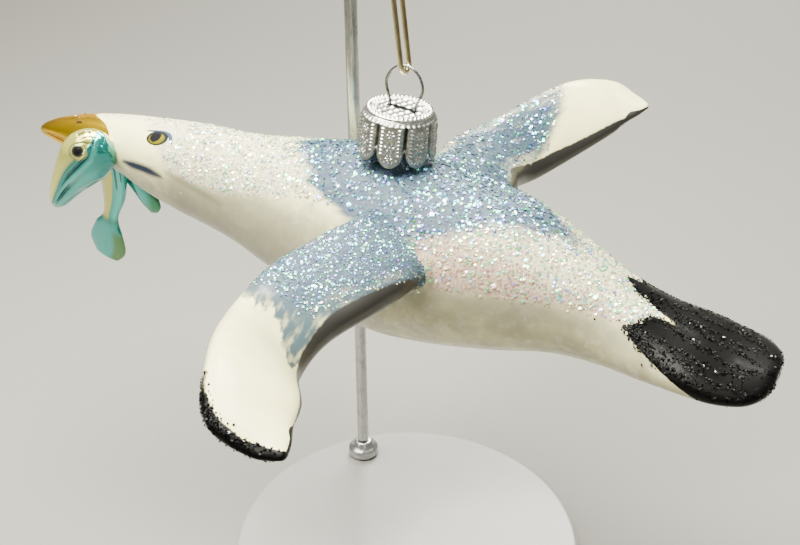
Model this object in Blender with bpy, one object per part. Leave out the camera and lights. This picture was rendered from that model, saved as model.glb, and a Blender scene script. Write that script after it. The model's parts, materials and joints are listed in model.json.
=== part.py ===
"""Flying seagull Christmas-tree ornament in painted blown glass, hung on a display stand.

The gull hangs by the wire ring of its metal cap from a gilt hook, and the hook hangs
from the arm of a plain stand. The world origin is the centre of the base's underside,
the gull faces -X and +Z is up. The gull's own pieces are drawn in the gull's frame,
whose origin is the centre of the cap's top. An empty on the swing axis, the bottom of
the hook's bend, pitches that frame nose-up and carries the pieces.
"""

import math
from collections import namedtuple

import bmesh
import bpy
import numpy as np
from mathutils import Matrix, Vector

MM = 0.001
GAP = 0.3 * MM                      # clearance between neighbouring pieces

# Attitude and hanging height
PITCH = math.radians(6.4)           # nose-up angle of the hanging gull
HINGE_HEIGHT = 104 * MM             # swing axis above the table
HINGE_OVER_CAP = 6.25 * MM          # swing axis above the cap's top, along the cap's axis
RING_SHIFT = 0.4 * MM               # ring and slot off the cap's middle, towards the tail

# Divisions of the glass body along its length, in the gull's frame
BILL_CUT = -67.5 * MM
HEAD_CUT = -46 * MM
NECK_CUT = -20 * MM
TAIL_CUT = 42 * MM
WING_CUT = 17.6 * MM                # distance of each wing's root cut from the middle plane
NECK_WALL = 1.3 * MM                # the neck is left hollow, which balances the gull on its ring
NECK_OVERCUT = 4 * MM               # how far the hollow's cutter runs past the neck's two ends

# Glass neck under the cap
STEM_RADIUS = 4.6 * MM
STEM_TOP = -1.2 * MM
STEM_FOOT = -16 * MM
SLOT_LENGTH = 5.6 * MM
SLOT_WIDTH = 1.2 * MM
SLOT_FLOOR = -5 * MM

# Cap
DISC_RADIUS = 5.65 * MM
DISC_THICKNESS = 0.8 * MM
SKIRT_RADIUS = 5.95 * MM            # under the disc, between two petals
SKIRT_FLARE = 0.25 * MM             # growth of that radius down to the hem
SKIRT_TOP = 0.14                    # where the skirt stands clear of the disc, as a share of its height
CAP_HEIGHT = 8.3 * MM
CAP_WALL = 0.45 * MM
PETALS = 8
PETAL_TURN = math.radians(-5)       # place of one of the grooves between petals
PETAL_DEPTH = 0.45 * MM             # how far the skirt swells in the middle of a petal
HEM_RISE = 2.2 * MM                 # how far the hem rises between two petals

# Ring and hook wire
RING_WIRE = 0.25 * MM               # radius
RING_HALF_WIDTH = 3.4 * MM
RING_WIDEST = 3.5 * MM              # height of the widest place above the cap's top
RING_FOOT_X = 2.2 * MM
RING_FOOT_DEPTH = 4.2 * MM
HOOK_WIRE = 0.45 * MM
HOOK_BEND = 1.35 * MM               # radius of the narrow bend that holds the ring
HOOK_LENGTH = 36 * MM               # from the bend's lowest point to the crook's top
HOOK_LEAN = math.radians(6.8)       # lean of the two lower shanks towards the bill
HOOK_RISES = (5, 10, 16)            # heights in mm above the bend that the shanks run through
CROOK_RADIUS = 3.0 * MM
CROOK_DROP = 7 * MM                 # length of the straight wire that comes down from the crook
CROOK_CLOSE = 0.6 * MM              # how far that wire is bent in under the crook

# Stand
BASE_RADIUS = 36 * MM
BASE_THICKNESS = 5 * MM
BASE_BEVEL = 1 * MM
POST_RADIUS = 1.25 * MM
POST_PLACE = Vector((-22, 19, 0)) * MM
FOOT_RADIUS = 3.4 * MM
FOOT_HEIGHT = 3.5 * MM
ELBOW_RADIUS = 2.7 * MM
ARM_OVERHANG = 4 * MM               # how far the arm runs past the hook
ARM_KNOB = 1.9 * MM

# Fineness of the solids
BODY_SIDES = 28
BODY_RINGS = 46
WING_SIDES = 16
WING_RINGS = 20
FISH_SIDES = 14
WIRE_SAMPLES = 3                    # points along a wire for each point of its route

# Cross-sections of the body along X: place, height of the middle, half width, half height, in mm
Section = namedtuple("Section", "x z wide high")
BODY = [
    Section(-85.5, -27.9, 0.5, 0.5),
    Section(-83.0, -27.4, 1.4, 1.7),
    Section(-79.0, -26.6, 2.4, 3.0),
    Section(-74.0, -26.0, 3.3, 4.3),
    Section(-68.0, -25.1, 4.4, 5.2),
    Section(-61.0, -24.3, 5.8, 6.0),
    Section(-53.0, -24.6, 7.3, 7.7),
    Section(-45.0, -24.6, 8.5, 9.0),
    Section(-31.0, -24.6, 10.2, 10.4),
    Section(-20.0, -24.8, 12.4, 12.9),
    Section(-8.0, -25.2, 15.4, 15.8),
    Section(4.0, -25.2, 16.6, 16.2),
    Section(14.0, -24.5, 15.9, 15.3),
    Section(25.0, -23.7, 13.4, 13.3),
    Section(35.0, -23.9, 10.6, 9.8),
    Section(43.0, -25.1, 9.3, 7.5),
    Section(50.0, -25.9, 10.2, 5.8),
    Section(57.0, -25.9, 11.5, 4.3),
    Section(62.0, -26.0, 11.4, 3.3),
    Section(66.0, -25.7, 10.0, 2.6),
    Section(68.2, -25.3, 7.6, 2.0),
    Section(69.3, -25.1, 4.0, 1.3),
]

# Sections of a wing from inside the trunk to the tip: leading edge, trailing edge, thickness, in mm,
# and how much farther the right wing's trailing edge reaches, as no two blown wings are alike
Rib = namedtuple("Rib", "lead trail thick more")
WING = [
    Rib((3.0, 5.0, -16.0), (15.0, 6.0, -21.8), 6.2, 0.0),
    Rib((1.2, 13.0, -14.8), (15.4, 16.0, -20.8), 6.6, 0.3),
    Rib((-1.6, 22.0, -16.2), (12.8, 26.0, -22.0), 6.4, 0.8),
    Rib((-3.9, 31.8, -17.8), (9.8, 35.0, -24.0), 6.2, 1.1),
    Rib((-0.8, 44.6, -16.5), (10.9, 45.0, -25.0), 5.8, 1.4),
    Rib((7.6, 60.2, -10.9), (19.3, 57.1, -17.6), 4.6, 1.7),
    Rib((15.2, 70.9, -11.1), (21.9, 62.4, -15.6), 3.2, 1.5),
    Rib((21.4, 71.6, -12.9), (24.0, 65.8, -14.6), 2.0, 1.0),
    Rib((25.0, 69.9, -13.3), (25.4, 68.8, -13.8), 0.9, 0.5),
]

# The fish across the bill: middle line with half width and half thickness, in mm
Joint = namedtuple("Joint", "at wide thick")
FISH_FRONT = [
    Joint((-59.2, -6.0, -21.4), 1.9, 1.6),
    Joint((-60.6, -7.0, -22.6), 4.2, 3.0),
    Joint((-64.1, -8.2, -25.6), 5.3, 3.8),
    Joint((-68.0, -9.2, -31.0), 3.7, 2.9),
    Joint((-70.9, -9.8, -36.0), 2.2, 1.8),
    Joint((-72.0, -10.0, -38.1), 0.8, 0.7),
]
FISH_REAR = [
    Joint((-68.2, 2.0, -27.5), 3.2, 2.1),
    Joint((-68.5, 3.2, -33.0), 3.6, 2.1),
    Joint((-69.1, 4.0, -39.5), 3.1, 1.7),
    Joint((-70.4, 4.0, -45.4), 2.0, 1.1),
    Joint((-71.3, 4.0, -49.2), 3.9, 1.0),
    Joint((-71.9, 4.0, -53.4), 5.1, 0.8),
    Joint((-72.5, 4.0, -57.0), 2.8, 0.6),
]
FISH_FIN = [
    Joint((-66.9, 5.6, -34.6), 1.9, 0.9),
    Joint((-64.2, 5.9, -36.5), 2.2, 1.0),
    Joint((-61.0, 6.0, -39.4), 2.1, 0.9),
    Joint((-58.8, 6.0, -42.0), 1.1, 0.5),
]


def clear_scene():
    for item in list(bpy.data.objects):
        bpy.data.objects.remove(item, do_unlink=True)


def finish(name, colour, roughness, metallic=0.0, transmission=0.0):
    """A Principled material of one colour."""
    material = bpy.data.materials.new(name)
    material.use_nodes = True
    shader = material.node_tree.nodes["Principled BSDF"]
    shader.inputs["Base Color"].default_value = (*colour, 1.0)
    shader.inputs["Roughness"].default_value = roughness
    shader.inputs["Metallic"].default_value = metallic
    shader.inputs["Transmission Weight"].default_value = transmission
    material.diffuse_color = (*colour, 1.0)
    return material


def add_object(name, bm, material=None, parent=None, smooth=True):
    """Make the bmesh an object, with its faces turned outwards."""
    bmesh.ops.recalc_face_normals(bm, faces=bm.faces)
    mesh = bpy.data.meshes.new(name)
    bm.to_mesh(mesh)
    bm.free()
    if smooth:
        mesh.shade_smooth()
        mesh.set_sharp_from_angle(angle=math.radians(35))
    if material:
        mesh.materials.append(material)
    item = bpy.data.objects.new(name, mesh)
    item.parent = parent
    bpy.context.collection.objects.link(item)
    return item


def make_guide(item):
    """Keep an object as a tool of the booleans only."""
    item.hide_render = True
    item.display_type = "WIRE"
    return item


def combine(item, other, operation):
    """Add an exact Boolean with another object."""
    modifier = item.modifiers.new(f"{operation.lower()} {other.name}", "BOOLEAN")
    modifier.operation = operation
    modifier.solver = "EXACT"
    modifier.object = other


def flowing(points, samples):
    """Catmull-Rom curve through the points, at evenly spaced parameters."""
    points = np.asarray(points, dtype=float)
    padded = np.vstack([2 * points[0] - points[1], points, 2 * points[-1] - points[-2]])
    place = np.linspace(0, len(points) - 1, samples)
    span = np.minimum(place.astype(int), len(points) - 2)
    t = (place - span)[:, None]
    a, b, c, d = (padded[span + k] for k in range(4))
    return 0.5 * (2 * b + (c - a) * t + (2 * a - 5 * b + 4 * c - d) * t**2
                  + (3 * b - 3 * c + d - a) * t**3)


def loft(rings):
    """Skin a list of equal closed rings of points with quads and close both ends."""
    bm = bmesh.new()
    grid = [[bm.verts.new(point) for point in ring] for ring in rings]
    for low, high in zip(grid, grid[1:]):
        for k in range(len(low)):
            bm.faces.new((low[k - 1], low[k], high[k], high[k - 1]))
    bm.faces.new(grid[0])
    bm.faces.new(grid[-1])
    return bm


def lathe(profile, sides):
    """Turn a profile of (radius, height) points that starts and ends on the Z axis."""
    bm = bmesh.new()
    vertices = [bm.verts.new((radius, 0, height)) for radius, height in profile]
    edges = [bm.edges.new(pair) for pair in zip(vertices, vertices[1:])]
    bmesh.ops.spin(bm, geom=vertices + edges, cent=(0, 0, 0), axis=(0, 0, 1),
                   angle=math.tau, steps=sides, use_merge=True)
    bmesh.ops.remove_doubles(bm, verts=bm.verts, dist=0.01 * MM)
    return bm


def body_form(grow=0.0, start=-math.inf, end=math.inf):
    """The body between two places as elliptical rings across X, grown all round by a margin."""
    table = flowing([tuple(section) for section in BODY], BODY_RINGS) * MM
    table = table[(table[:, 0] > start) & (table[:, 0] < end)]
    turn = np.linspace(0, math.tau, BODY_SIDES, endpoint=False)
    rings = []
    for x, z, wide, high in table:
        rings.append(np.stack([np.full_like(turn, x), (wide + grow) * np.cos(turn),
                               z + (high + grow) * np.sin(turn)], axis=1))
    return loft(rings)


def wing_form(side, grow=0.0):
    """One wing as rounded flat ribs between its leading and trailing edges.

    side is -1 for the bird's left wing and +1 for its right wing.
    """
    table = flowing([(*rib.lead, *rib.trail, rib.thick, rib.more) for rib in WING], WING_RINGS) * MM
    lead, trail = table[:, :3], table[:, 3:6]
    if side > 0:
        chord = trail - lead
        trail = trail + chord / np.linalg.norm(chord, axis=1, keepdims=True) * table[:, 7:8]
    middle = (lead + trail) / 2
    chord = trail - lead
    span = np.gradient(middle, axis=0)
    upright = np.cross(chord, span)
    upright /= np.linalg.norm(upright, axis=1, keepdims=True)
    turn = np.linspace(0, math.tau, WING_SIDES, endpoint=False)
    across = np.sign(np.cos(turn)) * np.abs(np.cos(turn)) ** 0.85
    above = np.sign(np.sin(turn)) * np.abs(np.sin(turn)) ** 0.75
    rings = []
    for k in range(WING_RINGS):
        reach = chord[k] * (0.5 + grow / np.linalg.norm(chord[k]))
        depth = upright[k] * (table[k, 6] / 2 + grow)
        ring = middle[k] + np.outer(across, reach) + np.outer(above, depth)
        rings.append(ring * (1, side, 1))
    return loft(rings)


def fish_form(joints, flat_axis, rings=10, grow=0.0):
    """A length of the fish: oval rings along its middle line, thin along flat_axis."""
    table = flowing([(*joint.at, joint.wide, joint.thick) for joint in joints], rings) * MM
    middle = table[:, :3]
    along = np.gradient(middle, axis=0)
    turn = np.linspace(0, math.tau, FISH_SIDES, endpoint=False)
    shape = []
    for k in range(rings):
        side = np.cross(along[k], flat_axis)
        side /= np.linalg.norm(side)
        thin = np.cross(side, along[k])
        thin /= np.linalg.norm(thin)
        shape.append(middle[k] + np.outer(np.cos(turn), side * (table[k, 3] + grow))
                     + np.outer(np.sin(turn), thin * (table[k, 4] + grow)))
    return loft(shape)


def block(name, low, high, parent, material=None):
    """A box between two corners."""
    bm = bmesh.new()
    bmesh.ops.create_cube(bm, size=1)
    low, high = Vector(low), Vector(high)
    size = high - low
    bmesh.ops.transform(bm, verts=bm.verts,
                        matrix=Matrix.Translation((low + high) / 2) @ Matrix.Diagonal((*size, 1)))
    return add_object(name, bm, material, parent, smooth=False)


def slot_cutter(name, floor, frame):
    """A guide block for the slot that takes the ring's two feet."""
    low = (RING_SHIFT - SLOT_LENGTH / 2, -SLOT_WIDTH / 2, floor)
    high = (RING_SHIFT + SLOT_LENGTH / 2, SLOT_WIDTH / 2, 1 * MM)
    return make_guide(block(name, low, high, frame))


def glass_body(frame, white, grey, black, amber):
    """Model the gull's glass whole, then part it with thin cuts at the divisions."""
    whole = make_guide(add_object("guide_body", body_form(), parent=frame))
    for side in (-1, 1):
        wing = make_guide(add_object(f"guide_wing_{side}", wing_form(side), parent=frame))
        combine(whole, wing, "UNION")
    far = 100 * MM
    half = GAP / 2
    lengths = [("bill", -far, BILL_CUT - half, amber), ("head", BILL_CUT + half, HEAD_CUT - half, white),
               ("neck", HEAD_CUT + half, NECK_CUT - half, white),
               ("trunk", NECK_CUT + half, TAIL_CUT - half, grey),
               ("tail", TAIL_CUT + half, far, black)]
    inner = WING_CUT - half
    nodes = {name: block(name, (start, -inner, -far), (end, inner, far), frame, material)
             for name, start, end, material in lengths}
    outer = WING_CUT + half
    nodes["wing_left"] = block("wing_left", (-far, -far, -far), (far, -outer, far), frame, grey)
    nodes["wing_right"] = block("wing_right", (-far, outer, -far), (far, far, far), frame, grey)
    for node in nodes.values():
        combine(node, whole, "INTERSECT")
        node.data.shade_smooth()
        node.data.set_sharp_from_angle(angle=math.radians(35))
    return nodes


def hollow_neck(frame, neck):
    """Leave the neck a tube with an even wall, open at its two cuts."""
    hollow = body_form(-NECK_WALL, HEAD_CUT - NECK_OVERCUT, NECK_CUT + NECK_OVERCUT)
    combine(neck, make_guide(add_object("guide_hollow", hollow, parent=frame)), "DIFFERENCE")


def glass_stem(frame, trunk):
    """Join the glass neck that the cap sits on to the trunk, and cut the slot for the ring."""
    stem = lathe([(0, STEM_FOOT), (STEM_RADIUS, STEM_FOOT), (STEM_RADIUS, STEM_TOP), (0, STEM_TOP)], 24)
    combine(trunk, make_guide(add_object("guide_stem", stem, parent=frame)), "UNION")
    combine(trunk, slot_cutter("guide_stem_slot", SLOT_FLOOR, frame), "DIFFERENCE")


def disc_ring(radius, height, sides):
    """A plain circle at one height."""
    turn = np.linspace(0, math.tau, sides, endpoint=False)
    return np.stack([radius * np.cos(turn), radius * np.sin(turn), np.full_like(turn, height)], axis=1)


def skirt_ring(height_share, inset, sides):
    """One level of the skirt: 0 is at the disc, 1 the hem, with petals that swell."""
    turn = np.linspace(0, math.tau, sides, endpoint=False)
    petal = np.abs(np.sin((turn - PETAL_TURN) * PETALS / 2))
    radius = SKIRT_RADIUS + SKIRT_FLARE * height_share + PETAL_DEPTH * petal - inset
    height = -height_share * (CAP_HEIGHT - HEM_RISE * (1 - petal) * height_share)
    return np.stack([radius * np.cos(turn), radius * np.sin(turn), height], axis=1)


def cap(frame, silver):
    """A metal cup, open below: a disc with a slot over a wider skirt of petals."""
    sides = PETALS * 6
    rings = [disc_ring(DISC_RADIUS, 0, sides), disc_ring(DISC_RADIUS, -DISC_THICKNESS, sides)]
    rings += [skirt_ring(share, 0, sides) for share in (SKIRT_TOP, 0.5, 1)]
    rings += [skirt_ring(share, CAP_WALL, sides) for share in (1, 0.5, SKIRT_TOP)]
    rings.append(disc_ring(DISC_RADIUS - CAP_WALL, -DISC_THICKNESS, sides))
    piece = add_object("cap", loft(rings), silver, frame)
    combine(piece, slot_cutter("guide_cap_slot", SLOT_FLOOR, frame), "DIFFERENCE")


def wire(name, points, radius, material, parent=None):
    """A round wire with filled ends along a smooth curve through the points."""
    path = flowing(points, WIRE_SAMPLES * len(points))
    curve = bpy.data.curves.new(name, "CURVE")
    curve.dimensions = "3D"
    curve.bevel_depth = radius
    curve.bevel_resolution = 2
    curve.use_fill_caps = True
    spline = curve.splines.new("POLY")
    spline.points.add(len(path) - 1)
    for point, place in zip(spline.points, path):
        point.co = (*place, 1)
    curve.materials.append(material)
    item = bpy.data.objects.new(name, curve)
    item.parent = parent
    bpy.context.collection.objects.link(item)
    return item


def ring_points():
    """The ring in the cap's XZ plane: two feet in the slot and a tall arch between them."""
    top = HINGE_OVER_CAP + HOOK_WIRE + GAP + RING_WIRE
    rise = top - RING_WIDEST
    arch = [(-RING_HALF_WIDTH * math.cos(angle), 0, RING_WIDEST + rise * math.sin(angle))
            for angle in np.radians(np.arange(0, 181, 30))]
    foot = [(-RING_FOOT_X, 0, -RING_FOOT_DEPTH), (-RING_FOOT_X, 0, -1.2 * MM), (-2.5 * MM, 0, 0.9 * MM)]
    mirrored = [(-x, y, z) for x, y, z in reversed(foot)]
    return [(x + RING_SHIFT, y, z) for x, y, z in foot + arch + mirrored]


def hook_points():
    """The hook in the world: a narrow bend across the ring, two leaning shanks and a crook.

    The near shank turns at mid height into the plane of the crook, which stands square
    to the stand's arm.
    """
    lean = Vector((-math.sin(HOOK_LEAN), 0, math.cos(HOOK_LEAN)))
    bottom = Vector((0, 0, HINGE_HEIGHT))
    across = Vector((0, 1, 0))
    centre = bottom + lean * HOOK_BEND
    points = [centre + across * HOOK_BEND + lean * rise * MM for rise in reversed(HOOK_RISES)]
    for angle in np.radians(np.arange(0, 181, 30)):
        points.append(centre + across * HOOK_BEND * math.cos(angle) - lean * HOOK_BEND * math.sin(angle))
    points += [centre - across * HOOK_BEND + lean * rise * MM for rise in HOOK_RISES]
    crook_centre = Vector((0, 0, HINGE_HEIGHT + HOOK_LENGTH - CROOK_RADIUS))
    swing = Vector((-POST_PLACE.y, POST_PLACE.x, 0)).normalized()
    points.append(crook_centre + swing * (CROOK_RADIUS - CROOK_CLOSE) - Vector((0, 0, CROOK_DROP)))
    for angle in np.radians(np.arange(0, 211, 30)):
        points.append(crook_centre + swing * CROOK_RADIUS * math.cos(angle)
                      + Vector((0, 0, CROOK_RADIUS * math.sin(angle))))
    return points


def stand(paint, steel):
    """Round base, foot, post, elbow and the arm that carries the hook."""
    inner = BASE_RADIUS - BASE_BEVEL
    base = lathe([(0, 0), (inner, 0), (BASE_RADIUS, BASE_BEVEL), (BASE_RADIUS, BASE_THICKNESS - BASE_BEVEL),
                  (inner, BASE_THICKNESS), (0, BASE_THICKNESS)], 56)
    add_object("stand_base", base, paint)

    foot_low = BASE_THICKNESS + GAP
    foot_top = foot_low + FOOT_HEIGHT
    foot = lathe([(0, foot_low), (FOOT_RADIUS, foot_low), (FOOT_RADIUS, foot_top - 1.2 * MM),
                  (POST_RADIUS + 0.4 * MM, foot_top), (0, foot_top)], 24)
    add_object("stand_foot", foot, steel).location = POST_PLACE

    arm_height = HINGE_HEIGHT + HOOK_LENGTH - HOOK_WIRE - GAP - POST_RADIUS
    post_low, post_top = foot_top + GAP, arm_height - ELBOW_RADIUS - GAP
    post = lathe([(0, post_low), (POST_RADIUS, post_low), (POST_RADIUS, post_top), (0, post_top)], 16)
    add_object("stand_post", post, steel).location = POST_PLACE

    ball = [(ELBOW_RADIUS * math.sin(angle), -ELBOW_RADIUS * math.cos(angle))
            for angle in np.linspace(0, math.pi, 9)]
    ball[0], ball[-1] = (0, -ELBOW_RADIUS), (0, ELBOW_RADIUS)
    add_object("stand_elbow", lathe(ball, 20), steel).location = POST_PLACE + Vector((0, 0, arm_height))

    reach = POST_PLACE.length + ARM_OVERHANG
    start = ELBOW_RADIUS + GAP
    rod = [(0, start), (POST_RADIUS, start), (POST_RADIUS, reach)]
    knob = [(ARM_KNOB * math.sin(angle), reach + ARM_KNOB * (0.75 - math.cos(angle)))
            for angle in np.linspace(math.radians(45), math.pi, 6)]
    knob[-1] = (0, knob[-1][1])
    arm = add_object("stand_arm", lathe(rod + knob, 16), steel)
    arm.location = POST_PLACE + Vector((0, 0, arm_height))
    arm.rotation_euler = (-POST_PLACE).to_track_quat("Z", "Y").to_euler()


def main():
    clear_scene()
    white = finish("pearl white glass", (0.80, 0.78, 0.70), 0.25)
    grey = finish("glittered blue grey glass", (0.42, 0.50, 0.62), 0.35)
    black = finish("gloss black glass", (0.02, 0.02, 0.02), 0.2)
    amber = finish("amber bill paint", (0.80, 0.46, 0.02), 0.3)
    mint = finish("mint glass", (0.30, 0.68, 0.60), 0.15)
    silver = finish("silvered cap", (0.80, 0.80, 0.80), 0.25, 1.0)
    steel = finish("satin steel", (0.62, 0.62, 0.62), 0.3, 1.0)
    gilt = finish("gilt wire", (0.72, 0.56, 0.26), 0.25, 1.0)
    paint = finish("pale lacquer", (0.72, 0.71, 0.69), 0.4)

    axis = bpy.data.objects.new("swing_axis", None)
    axis.location = (0, 0, HINGE_HEIGHT)
    axis.rotation_euler = (0, PITCH, 0)
    bpy.context.collection.objects.link(axis)
    frame = bpy.data.objects.new("gull_frame", None)
    frame.parent = axis
    frame.location = (-RING_SHIFT, 0, -HINGE_OVER_CAP)
    bpy.context.collection.objects.link(frame)

    nodes = glass_body(frame, white, grey, black, amber)
    hollow_neck(frame, nodes["neck"])
    glass_stem(frame, nodes["trunk"])

    grown = make_guide(add_object("guide_body_grown", body_form(GAP), parent=frame))
    front = add_object("fish_front", fish_form(FISH_FRONT, (0, 1, 0.2)), mint, frame)
    rear = add_object("fish_rear", fish_form(FISH_REAR, (0, 1, 0), rings=14), mint, frame)
    fin = add_object("fish_fin", fish_form(FISH_FIN, (0, 1, 0), rings=8), mint, frame)
    rear_grown = make_guide(add_object(
        "guide_fish_rear", fish_form(FISH_REAR, (0, 1, 0), rings=14, grow=GAP), parent=frame))
    for piece in (front, rear, fin):
        combine(piece, grown, "DIFFERENCE")
    combine(fin, rear_grown, "DIFFERENCE")

    cap(frame, silver)
    wire("ring", ring_points(), RING_WIRE, steel, frame)
    wire("hook", hook_points(), HOOK_WIRE, gilt)
    stand(paint, steel)


main()
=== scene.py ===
"""Looks of the hanging seagull ornament: painted and glittered glass, crowned cap, wires and stand.

Shapes are worked out in millimetres in the gull's own frame, whose origin is the centre of the
cap's top, with the bill towards -X and +Z along the cap. to_world() carries them to the model.
"""
import json
import math

import bpy
import numpy as np
from mathutils import Matrix, Vector


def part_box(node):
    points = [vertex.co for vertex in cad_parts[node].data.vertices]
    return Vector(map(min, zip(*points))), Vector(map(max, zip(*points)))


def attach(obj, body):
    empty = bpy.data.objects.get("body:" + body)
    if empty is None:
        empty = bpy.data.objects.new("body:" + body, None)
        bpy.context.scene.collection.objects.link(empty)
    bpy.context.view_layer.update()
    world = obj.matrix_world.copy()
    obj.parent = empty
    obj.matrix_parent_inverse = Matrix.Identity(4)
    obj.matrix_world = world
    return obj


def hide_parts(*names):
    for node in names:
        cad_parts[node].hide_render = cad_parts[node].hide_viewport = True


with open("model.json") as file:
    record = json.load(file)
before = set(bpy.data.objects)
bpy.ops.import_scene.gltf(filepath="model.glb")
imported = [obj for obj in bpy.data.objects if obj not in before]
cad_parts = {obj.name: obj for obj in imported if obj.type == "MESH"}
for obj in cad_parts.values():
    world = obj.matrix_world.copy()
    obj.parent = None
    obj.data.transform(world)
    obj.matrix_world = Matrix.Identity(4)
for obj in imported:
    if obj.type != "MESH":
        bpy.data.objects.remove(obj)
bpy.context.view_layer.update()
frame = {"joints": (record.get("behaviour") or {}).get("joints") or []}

MM = 0.001
SEED = 20

# How the gull hangs: the joint is on the bend of the hook
HINGE = np.array(frame["joints"][0]["pos_m"])
PITCH = np.array(Matrix.Rotation(math.radians(6.4), 3, "Y"))
CAP_BELOW_HINGE = np.array([-0.4, 0.0, -6.25])

# The body's cross-sections: place along X, height of the middle, half width, half height
BODY = np.array([
    (-84.9, -27.8, 0.5, 0.5), (-83.0, -27.4, 1.4, 1.7), (-79.0, -26.6, 2.4, 3.0), (-74.0, -26.0, 3.3, 4.3),
    (-68.0, -25.1, 4.4, 5.2), (-61.0, -24.3, 5.8, 6.0), (-53.0, -24.6, 7.3, 7.7), (-45.0, -24.6, 8.5, 9.0),
    (-31.0, -24.6, 10.2, 10.4), (-20.0, -24.8, 12.4, 12.9), (-8.0, -25.2, 15.4, 15.8),
    (4.0, -25.2, 16.6, 16.2), (14.0, -24.5, 15.9, 15.3), (25.0, -23.7, 13.4, 13.3), (35.0, -23.9, 10.6, 9.8),
    (43.0, -25.1, 9.3, 7.5), (50.0, -25.9, 10.2, 5.8), (57.0, -25.9, 11.5, 4.3), (62.0, -26.0, 11.4, 3.3),
    (66.0, -25.7, 10.0, 2.6),
    (68.2, -25.3, 7.6, 2.0), (69.3, -25.1, 4.0, 1.3)])

# A wing's ribs from inside the trunk to the tip: leading edge, trailing edge, thickness, and how
# much farther the right wing's trailing edge reaches
WING = np.array([
    (3.0, 5.0, -16.0, 15.0, 6.0, -21.8, 6.2, 0.0), (1.2, 13.0, -14.8, 15.4, 16.0, -20.8, 6.6, 0.3),
    (-1.6, 22.0, -16.2, 12.8, 26.0, -22.0, 6.4, 0.8), (-3.9, 31.8, -17.8, 9.8, 35.0, -24.0, 6.2, 1.1),
    (-0.8, 44.6, -16.5, 10.9, 45.0, -25.0, 5.8, 1.4), (7.6, 60.2, -10.9, 19.3, 57.1, -17.6, 4.6, 1.7),
    (15.2, 70.9, -11.1, 21.9, 62.4, -15.6, 3.2, 1.5), (21.4, 71.6, -12.9, 24.0, 65.8, -14.6, 2.0, 1.0),
    (25.0, 69.9, -13.3, 25.4, 68.8, -13.8, 0.9, 0.5)])
EDGE_POWER, FACE_POWER = 0.85, 0.75  # roundness of a wing's ribs at their edges and faces

SKIN_INSET = 0.1                    # the paint lies this far inside the solids, under the glitter
SKIN_CELL = 0.48                    # edge of the skin's faces
BODY_GRID, WING_GRID = (480, 160), (260, 120)   # rings along, points round
FILLET_TURNS = 40                   # rounds of smoothing where a wing joins the trunk
WING_ROOT = np.array([8.0, 16.0, -18.5])
WING_ROOT_REACH = np.array([11.0, 4.5, 8.0])


# ---- arrays and meshes

def to_world(points):
    """Turn by the pitch about Y, move to the hinge, and change millimetres to metres."""
    return (points + CAP_BELOW_HINGE) @ PITCH.T * MM + HINGE


def ease(low, high, value):
    """0 below low, 1 above high, and a cubic ease between."""
    t = np.clip((value - low) / (high - low), 0, 1)
    return t * t * (3 - 2 * t)


def band(value, start, full, fade, end):
    """0 before start and after end, 1 from full to fade, eased between."""
    return ease(start, full, value) * ease(end, fade, value)


def hill(value, centre, width):
    """A bell of height 1."""
    return np.exp(-((value - centre) / width) ** 2)


def along(rows, value):
    """Straight-line reading of a table of (place, value) rows."""
    return np.interp(value, *zip(*rows))


def full_turn(count):
    """Angles evenly round a circle."""
    return np.linspace(0, math.tau, count, endpoint=False)


def circling(radius, turn, height):
    """Points at a radius and a turn round the Z axis, at a height."""
    radius, turn, height = np.broadcast_arrays(radius, turn, height)
    return np.stack([radius * np.cos(turn), radius * np.sin(turn), height], axis=-1)


def rings_about(middle, first, across, second, above):
    """A ring for each point of a middle line: across times its first axis and above times its second."""
    return middle[:, None] + across[..., None] * first[:, None] + above[..., None] * second[:, None]


def flowing(points, samples):
    """Catmull-Rom curve through the points, at evenly spaced parameters."""
    points = np.asarray(points, dtype=float)
    padded = np.vstack([2 * points[0] - points[1], points, 2 * points[-1] - points[-2]])
    place = np.linspace(0, len(points) - 1, samples)
    span = np.minimum(place.astype(int), len(points) - 2)
    t = (place - span)[:, None]
    a, b, c, d = (padded[span + k] for k in range(4))
    return 0.5 * (2 * b + (c - a) * t + (2 * a - 5 * b + 4 * c - d) * t**2
                  + (3 * b - 3 * c + d - a) * t**3)


def unit(vectors):
    """Each vector divided by its length."""
    return vectors / np.linalg.norm(vectors, axis=-1, keepdims=True)


def build_mesh(name, points, *faces):
    """A mesh from an array of points and arrays of faces, one array for each count of corners."""
    corners = np.concatenate([block.ravel() for block in faces]).astype(np.int32)
    counts = np.concatenate([np.full(len(block), block.shape[1]) for block in faces])
    mesh = bpy.data.meshes.new(name)
    mesh.vertices.add(len(points))
    mesh.vertices.foreach_set("co", np.ascontiguousarray(points, np.float32).ravel())
    mesh.loops.add(len(corners))
    mesh.loops.foreach_set("vertex_index", corners)
    mesh.polygons.add(len(counts))
    mesh.polygons.foreach_set("loop_start", (np.cumsum(counts) - counts).astype(np.int32))
    mesh.update(calc_edges=True)
    return mesh


def closed_tube(rings):
    """Points, side quads and end fans of a grid of rings, with a pole point at the middle of each end."""
    rows, columns, _ = rings.shape
    points = np.vstack([rings.reshape(-1, 3), rings[0].mean(0), rings[-1].mean(0)])
    ring, after = np.arange(columns), np.roll(np.arange(columns), -1)
    low = np.arange(rows - 1)[:, None] * columns
    near, far = low + ring, low + after
    sides = np.stack([near, far, far + columns, near + columns], axis=-1).reshape(-1, 4)
    pole, last = np.full(columns, rows * columns), (rows - 1) * columns
    ends = np.vstack([np.stack([after, ring, pole], axis=-1),
                      np.stack([last + ring, last + after, pole + 1], axis=-1)])
    return points, sides, ends


def tube_mesh(name, rings, carry=to_world):
    """A mesh of a closed tube, carried to the model."""
    points, *faces = closed_tube(rings)
    return build_mesh(name, carry(points), *faces)


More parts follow.
